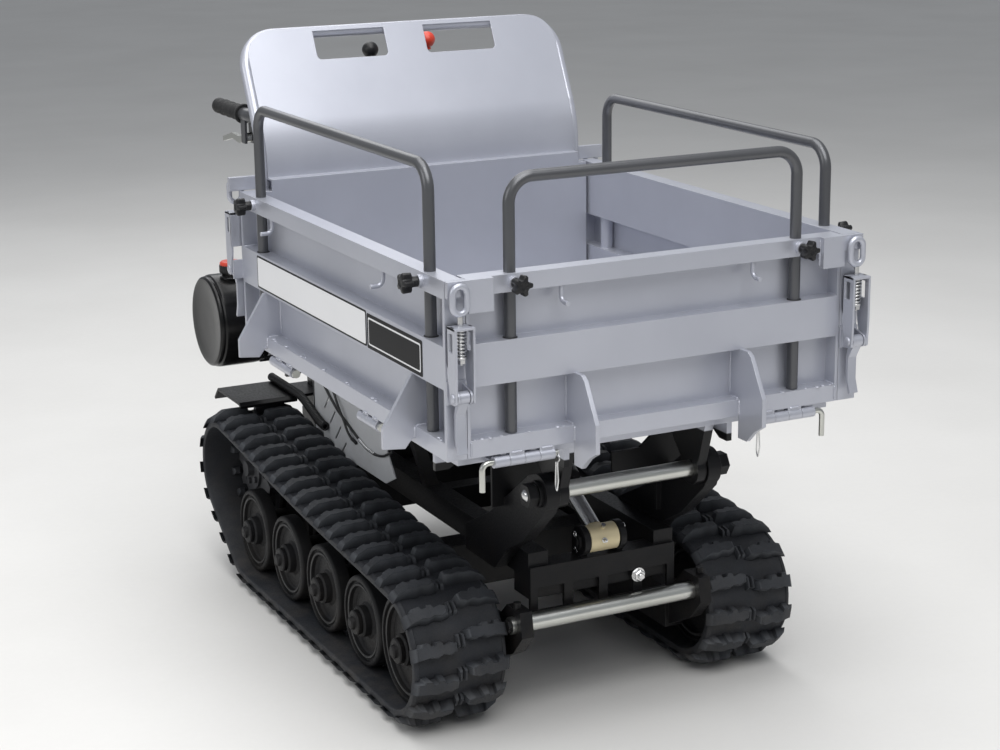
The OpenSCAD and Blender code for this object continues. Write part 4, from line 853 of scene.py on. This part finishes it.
def side_welds():
    """Beads along a side panel's gussets, hinge knuckles and posts, and drops on its sill."""
    lines, inner = [], XO - RAIL
    for y in (126.0, 134.0, 826.0, 834.0):
        lines += [weld((XO, y, BED_Z + 9), (XO, y, SILL - 2)),
                  weld((inner, y, SILL + 3), (inner, y, RIB_LO - 4)),
                  weld((inner + 3, y, SILL), (XO - 3, y, SILL))]
    for a, b in SIDE_HINGES:
        step = (b - a) / 4
        for y in (a, a + 2 * step):
            lines.append(weld((XO + 0.2, y + 3, BED_Z - 0.5), (XO + 0.2, y + step - 3, BED_Z - 0.5), 2.2))
    lines += [weld((inner + 3, y, z), (XO - 2, y, z), 2.2) for y in (8.0, BED_L - 8.0) for z in RUNGS]
    spots = (30, 44, 150, 166, 300, 318, 420, 436, 540, 640, 655, 740, 790, 806, 920)
    lines += [lump(XO - 4 - 3 * (k % 2), y, SILL, 4 + k % 3) for k, y in enumerate(spots)]
    return lines


put("side_weld_beads_left", side_welds(), silver, "side_panel_left", crease=50)
put("side_weld_beads_right", [mirrored(s) for s in side_welds()], silver, "side_panel_right", crease=50)


def spring_clip(x):
    """Wire clip through a hinge pin's inner end: a straight leg behind and a leg with one swell in front."""
    bends = ((9, 1), (-10, -1), (-15, -9), (-6, -16), (-9, -48), (-4, -68), (1, -58), (-1, -16))
    corners = [(x, HINGE_Y + y, HINGE_Z + z) for y, z in bends]
    return wire(rounded(corners, 4.5), 1.25, ACROSS, 8)


put("hinge_pin_clips", both([spring_clip(GATE_HINGE_X - 4.5)]), bright, "bed", crease=60)


# Oil tank, levers and engine

TANK_Y, TANK_Z, NECK = 1250.0, 548.0, (-330.0, 1232.0)


def ridges(n, depth, top=None):
    """Wave of n ridges round a skirt; where top is given, they fade out over the 2 mm below it."""

    def wave(a, along):
        """Factor on the radius at an angle and a height."""
        fade = np.ones_like(along) if top is None else np.clip((top - along) / 2, 0, 1)
        return 1 + depth * np.tanh(2.5 * np.cos(n * a)) * fade

    return wave


def oil_tank():
    """Steel drum lying across: rolled rims and shallow dished ends, filler neck, and its angle bracket."""
    drum = turned([(0.5, -381), (40, -381.6), (78, -383.5), (86, -385), (92, -385), (96, -382), (97, -378), (96, -374),
                   (99, -371), (100, -366), (100, -290), (99, -283), (96, -280), (97, -276), (96, -270), (90, -266),
                   (80, -264.5), (40, -263.4), (0.5, -263)], (0, TANK_Y, TANK_Z), "x", 72)
    neck = turned([(19, TANK_Z + 80), (19, TANK_Z + 98), (20, TANK_Z + 100), (20, TANK_Z + 111)], (*NECK, 0), "z", 36)
    shelf = bar((-276, 1226, 450), (-142, 1274, 462))
    upright = bar((-150, 1226, RAIL_TOP + 60.3), (-142, 1274, 450.5))
    bead = turned([(19, TANK_Z + 92), (23, TANK_Z + 93), (24, TANK_Z + 96), (21, TANK_Z + 99)], (*NECK, 0), "z", 36)
    put("oil_drum", [drum, neck, shelf, upright, bead], gloss, "chassis", ("oil_tank",), 28)


def oil_cap():
    """Screw cap: ridged skirt under a plain crowned top with a raised grip bar."""
    z = TANK_Z + 106
    skirt = turned([(20.5, z), (23.5, z), (24.5, z + 2), (24.5, z + 15), (23.8, z + 17)], (*NECK, 0), "z", 120,
                   ridges(24, 0.025))
    top = turned([(23.8, z + 16.5), (23.6, z + 21), (21, z + 24), (12, z + 25), (0.5, z + 25)], (*NECK, 0), "z", 60)
    hold = bar((NECK[0] - 15, NECK[1] - 3.5, z + 23), (NECK[0] + 15, NECK[1] + 3.5, z + 24.8))
    put("oil_cap_skirt", [skirt], plastic, "oil_tank_cap", ("oil_tank_cap",), 34)
    put("oil_cap_top", [top, hold], red, "oil_tank_cap", crease=34)


oil_tank()
oil_cap()

LEVER_Y, LEVER_Z = 1160.0, 880.0


def stick(node, x, top, knob_finish):
    """Hand lever: pivot boss, plain rod, collar, and a pear-shaped knob."""
    rod = turned([(0.4, LEVER_Z + 6), (6, LEVER_Z + 6), (6, top - 36), (5, top - 34)], (x, LEVER_Y, 0), "z", 20)
    boss = turned([(4.06, x - 6), (10, x - 6), (11, x - 5), (11, x + 5), (10, x + 6), (4.06, x + 6)],
                  (0, LEVER_Y, LEVER_Z), "x", 28)
    a = np.linspace(-1.15, np.pi / 2 - 0.02, 18)
    pear = np.stack([17.6 * np.cos(a) * (1 - 0.10 * np.sin(-np.minimum(a, 0))), top - 18 + 17.9 * np.sin(a)], -1)
    collar = [(6.2, top - 38.5), (8.2, top - 38), (8.4, top - 35)]
    knob = turned(np.concatenate([collar, pear]), (x, LEVER_Y, 0), "z", 36)
    put(node + "_rod", [rod, boss], zinc, node, (node,), 34)
    put(node + "_knob", [knob], knob_finish, node, crease=34)


stick("tip_lever", 108.0, 1146.0, red)
stick("gear_lever", -24.0, 1132.0, plastic)

CRANK, COVER_BOLT_R = (1100.0, 424.0), 80


def recoil_cover():
    """Starter cover on the engine's left: a stepped dome with a ring of slots shown as raised bars, and a boss."""
    dome = turned([(64.5, 146), (64.5, 168), (62, 172), (56, 174), (50, 174.5), (48, 172.6), (24, 172.6), (22, 175),
                   (14, 176.5), (0.5, 177)], (0, *CRANK), "x", 60)
    outline = rounded([(26, 0), (26, -2.2), (47, -3.6), (47, 3.6), (26, 2.2), (26, 0)], 1.2, 3)[:-1]
    spoke = plate(outline, 172, 175.2, "x")
    turns = [np.array([[1, 0, 0], [0, np.cos(t), -np.sin(t)], [0, np.sin(t), np.cos(t)]])
             for t in TAU * np.arange(16) / 16]
    spokes = [placed(spoke, m, (0, *CRANK)) for m in turns]
    head = [(5.5, 147.5), (5.5, 150.8), (5, 151.5), (0.4, 151.5)]
    bolts = [turned(head, (0, CRANK[0] + COVER_BOLT_R * np.cos(t), CRANK[1] + COVER_BOLT_R * np.sin(t)), "x", 6)
             for t in np.radians((45, 135, 225, 315))]
    put("recoil_cover", [dome] + spokes, plastic, "chassis", crease=30)
    put("recoil_bolts", bolts, zinc, "chassis", crease=30)


def fuel_cap():
    """Ridged fuel cap on the tank's top."""
    z = RAIL_TOP + 340
    profile = [(20, z), (24, z + 0.5), (24.5, z + 3), (24.5, z + 13), (23, z + 16), (14, z + 17.4), (0.5, z + 17.6)]
    shape = turned(profile, (40, 1096, 0), "z", 96, ridges(24, 0.02, z + 15))
    put("fuel_cap_ridged", [shape], plastic, "chassis", crease=34)


def muffler_guard():
    """Pressed guard round the muffler: a part sleeve with drawn-in ends and three rows of raised louvres."""
    x, z, r, thick, n = -126.0, RAIL_TOP + 190.0, 48.5, 1.2, 40
    a = np.linspace(np.radians(60), np.radians(300), n)
    y = np.array([1036.0, 1037.5, 1142.5, 1144.0])
    reach = r + np.array([-2.5, 0.0, 0.0, -2.5])[None] * np.ones((n, 1))
    skin = np.stack([x + reach * np.cos(a)[:, None], y[None] * np.ones((n, 1)), z + reach * np.sin(a)[:, None]], -1)
    inner = skin + (np.array([x, 0, z]) - skin * (1, 0, 1)) * (thick / r)
    shell = grid(np.concatenate([skin, inner[::-1]]), True, False)
    run = np.linspace(-11, 11, 8)[:, None] * (0, 1, 0)
    taper = [0.2, 0.8, 1, 1, 1, 1, 0.8, 0.2]
    louvres = []
    for y0 in (1056.0, 1090.0, 1124.0):
        for t in np.radians((110, 140, 170, 200, 230)):
            middle = np.array([x + (r + 0.2) * np.cos(t), y0, z + (r + 0.2) * np.sin(t)])
            louvres.append(wire(middle + run, 2.2, ACROSS, 8, False, taper))
    put("muffler_guard", [shell] + louvres, burnt, "chassis", crease=34)


recoil_cover()
fuel_cap()
muffler_guard()


# Nuts and pins at the front

TIP_SHAFT, TIP_SHAFT_END = (115, 455), 184.2
SKIRT_Y, SKIRT_BOLT = 197.0, (72, 236)
EYE_R, EYE_PIN_END = 25, 50.6


def domed_nut(s, r=16.0):
    """Hexagon nut with a domed end on the tip shaft's end toward s."""
    x, at = s * TIP_SHAFT_END, (0, *TIP_SHAFT)
    hexagon = turned([(0.5, x), (r - 1.2, x), (r, x + s * 1.2), (r, x + s * 13), (r - 2.5, x + s * 15)], at, "x", 6)
    a = np.linspace(0.15, np.pi / 2 - 0.03, 8)
    dome = turned(np.stack([0.78 * r * np.cos(a), x + s * (14 + 0.55 * r * np.sin(a))], -1), at, "x", 30)
    return [hexagon, dome]


put("tip_shaft_nuts", domed_nut(1) + domed_nut(-1), bright, "chassis", crease=30)


def skirt_bolt():
    """Washer, hexagon nut and stud on the front skirt plate, as [radius, distance out of it, sides]."""
    washer = [(0.5, 0), (13, 0), (13.5, 0.6), (13.5, 2.2), (8, 2.6)], 30
    nut = [(0.5, 2), (11, 2), (11.5, 3), (11.5, 10), (9.5, 11.5)], 6
    stud = [(0.5, 10), (6, 10), (6, 15), (5, 16), (0.5, 16)], 20
    x, z = SKIRT_BOLT
    return [turned([(r, SKIRT_Y - out) for r, out in profile], (x, 0, z), "y", sides)
            for profile, sides in (washer, nut, stud)]


put("skirt_bolt", skirt_bolt(), bright, "chassis", crease=30)


def grease_nipple():
    """Grease nipple on the front of the cylinder's eye, a little above level: hexagon, neck and ball."""
    profile = [(0.4, -10.5), (3.2, -9.5), (3.4, -7.5), (2.6, -6), (3, -3), (5, -2.5), (5, 2), (0.4, 2)]
    a = np.radians(-6)
    out = np.array([0, -np.cos(a), -np.sin(a)])
    matrix = np.stack([ACROSS, np.cross(-out, ACROSS), -out], -1)
    return placed(turned(profile, (0, 0, 0), "z", 16), matrix, np.array([-4, *EYE]) + EYE_R * out)


put("eye_grease_nipple", [grease_nipple()], bright, "cylinder_rod", crease=30)


def split_pin(x, r=1.4):
    """Split pin through the end of the eye's pin: a ring head and two legs bent apart."""
    y, z = EYE
    turn = ring(4.5, 24)
    head = wire(np.stack([np.full(24, x), y + turn[:, 0], z + 14 + turn[:, 1]], -1), r, ACROSS, close=True)
    legs = [rounded([(x, y, z + 10), (x, y, z - 11), (x, y + reach, z - 18)], 4) for reach in (-8, 6)]
    return [head] + [wire(leg, r, ACROSS) for leg in legs]


put("eye_split_pins", split_pin(EYE_PIN_END) + split_pin(-EYE_PIN_END), bright, "chassis", crease=40)


# Camera, light and floor

CAMERA_AT, LENS, SENSOR = (-1752.80, -2919.14 - MID_Y, 1584.87), 74.87, 36.0
AZIMUTH, ELEVATION, ROLL = np.radians((26.40182, 15.00703, -0.73672))
LAMPS = (("key", (-0.5, -2.9, 4.6), 4.2, 172), ("top", (-0.2, 0.4, 5.0), 4.5, 148),
         ("back", (0.6, 3.6, 3.4), 3.0, 40), ("side", (-4.0, -0.4, 2.4), 2.6, 34))
LAMPS_AIM, SKY, SKY_STRENGTH, FLOOR_REACH = (0, 0, 0.5), (0.90, 0.94, 1.0, 1.0), 0.36, 40.0


def stand(name, data, right, up, back, where):
    """A camera or lamp with these axes at a place in metres."""
    obj = bpy.data.objects.new(name, data)
    matrix = np.eye(4)
    matrix[:3] = np.stack([right, up, back, where], -1)
    obj.matrix_world = Matrix(matrix.tolist())
    bpy.context.scene.collection.objects.link(obj)
    return obj


def studio():
    """Camera at the photograph's place and angle, soft light from above and in front, and a pale floor."""
    scene = bpy.context.scene
    look = np.array([np.sin(AZIMUTH) * np.cos(ELEVATION), np.cos(AZIMUTH) * np.cos(ELEVATION), -np.sin(ELEVATION)])
    side = unit(np.cross(look, (0, 0, 1)))
    up = np.cross(side, look)
    right = np.cos(ROLL) * side + np.sin(ROLL) * up
    over = -np.sin(ROLL) * side + np.cos(ROLL) * up
    data = bpy.data.cameras.new("camera")
    data.lens, data.sensor_width, data.clip_end = LENS, SENSOR, 200.0
    scene.camera = stand("camera", data, right, over, -look, np.array(CAMERA_AT) * MM)
    for name, spot, size, watts in LAMPS:
        lamp = bpy.data.lights.new(name, "AREA")
        lamp.shape, lamp.size, lamp.energy = "DISK", size, watts
        ahead = unit(np.array(LAMPS_AIM) - spot)
        across = unit(np.cross(ahead, (0, 0, 1)))
        stand(name, lamp, across, np.cross(across, ahead), -ahead, spot)
    world = bpy.data.worlds.new("studio")
    world.use_nodes = True
    sky = world.node_tree.nodes["Background"].inputs
    sky[0].default_value, sky[1].default_value = SKY, SKY_STRENGTH
    scene.world = world
    r = FLOOR_REACH
    mesh = bpy.data.meshes.new("floor")
    mesh.from_pydata([(-r, -r, 0), (r, -r, 0), (r, r, 0), (-r, r, 0)], [], [(0, 1, 2, 3)])
    floor = bpy.data.objects.new("floor", mesh)
    mesh.materials.append(made_finish("pale_floor", (0.70, 0.69, 0.67), 0.75, 0.0, (0.66, 0.65, 0.63), patch=1.2,
                                      grain=60.0, bump=0.05))
    scene.collection.objects.link(floor)
    scene.view_settings.view_transform = "Standard"


studio()
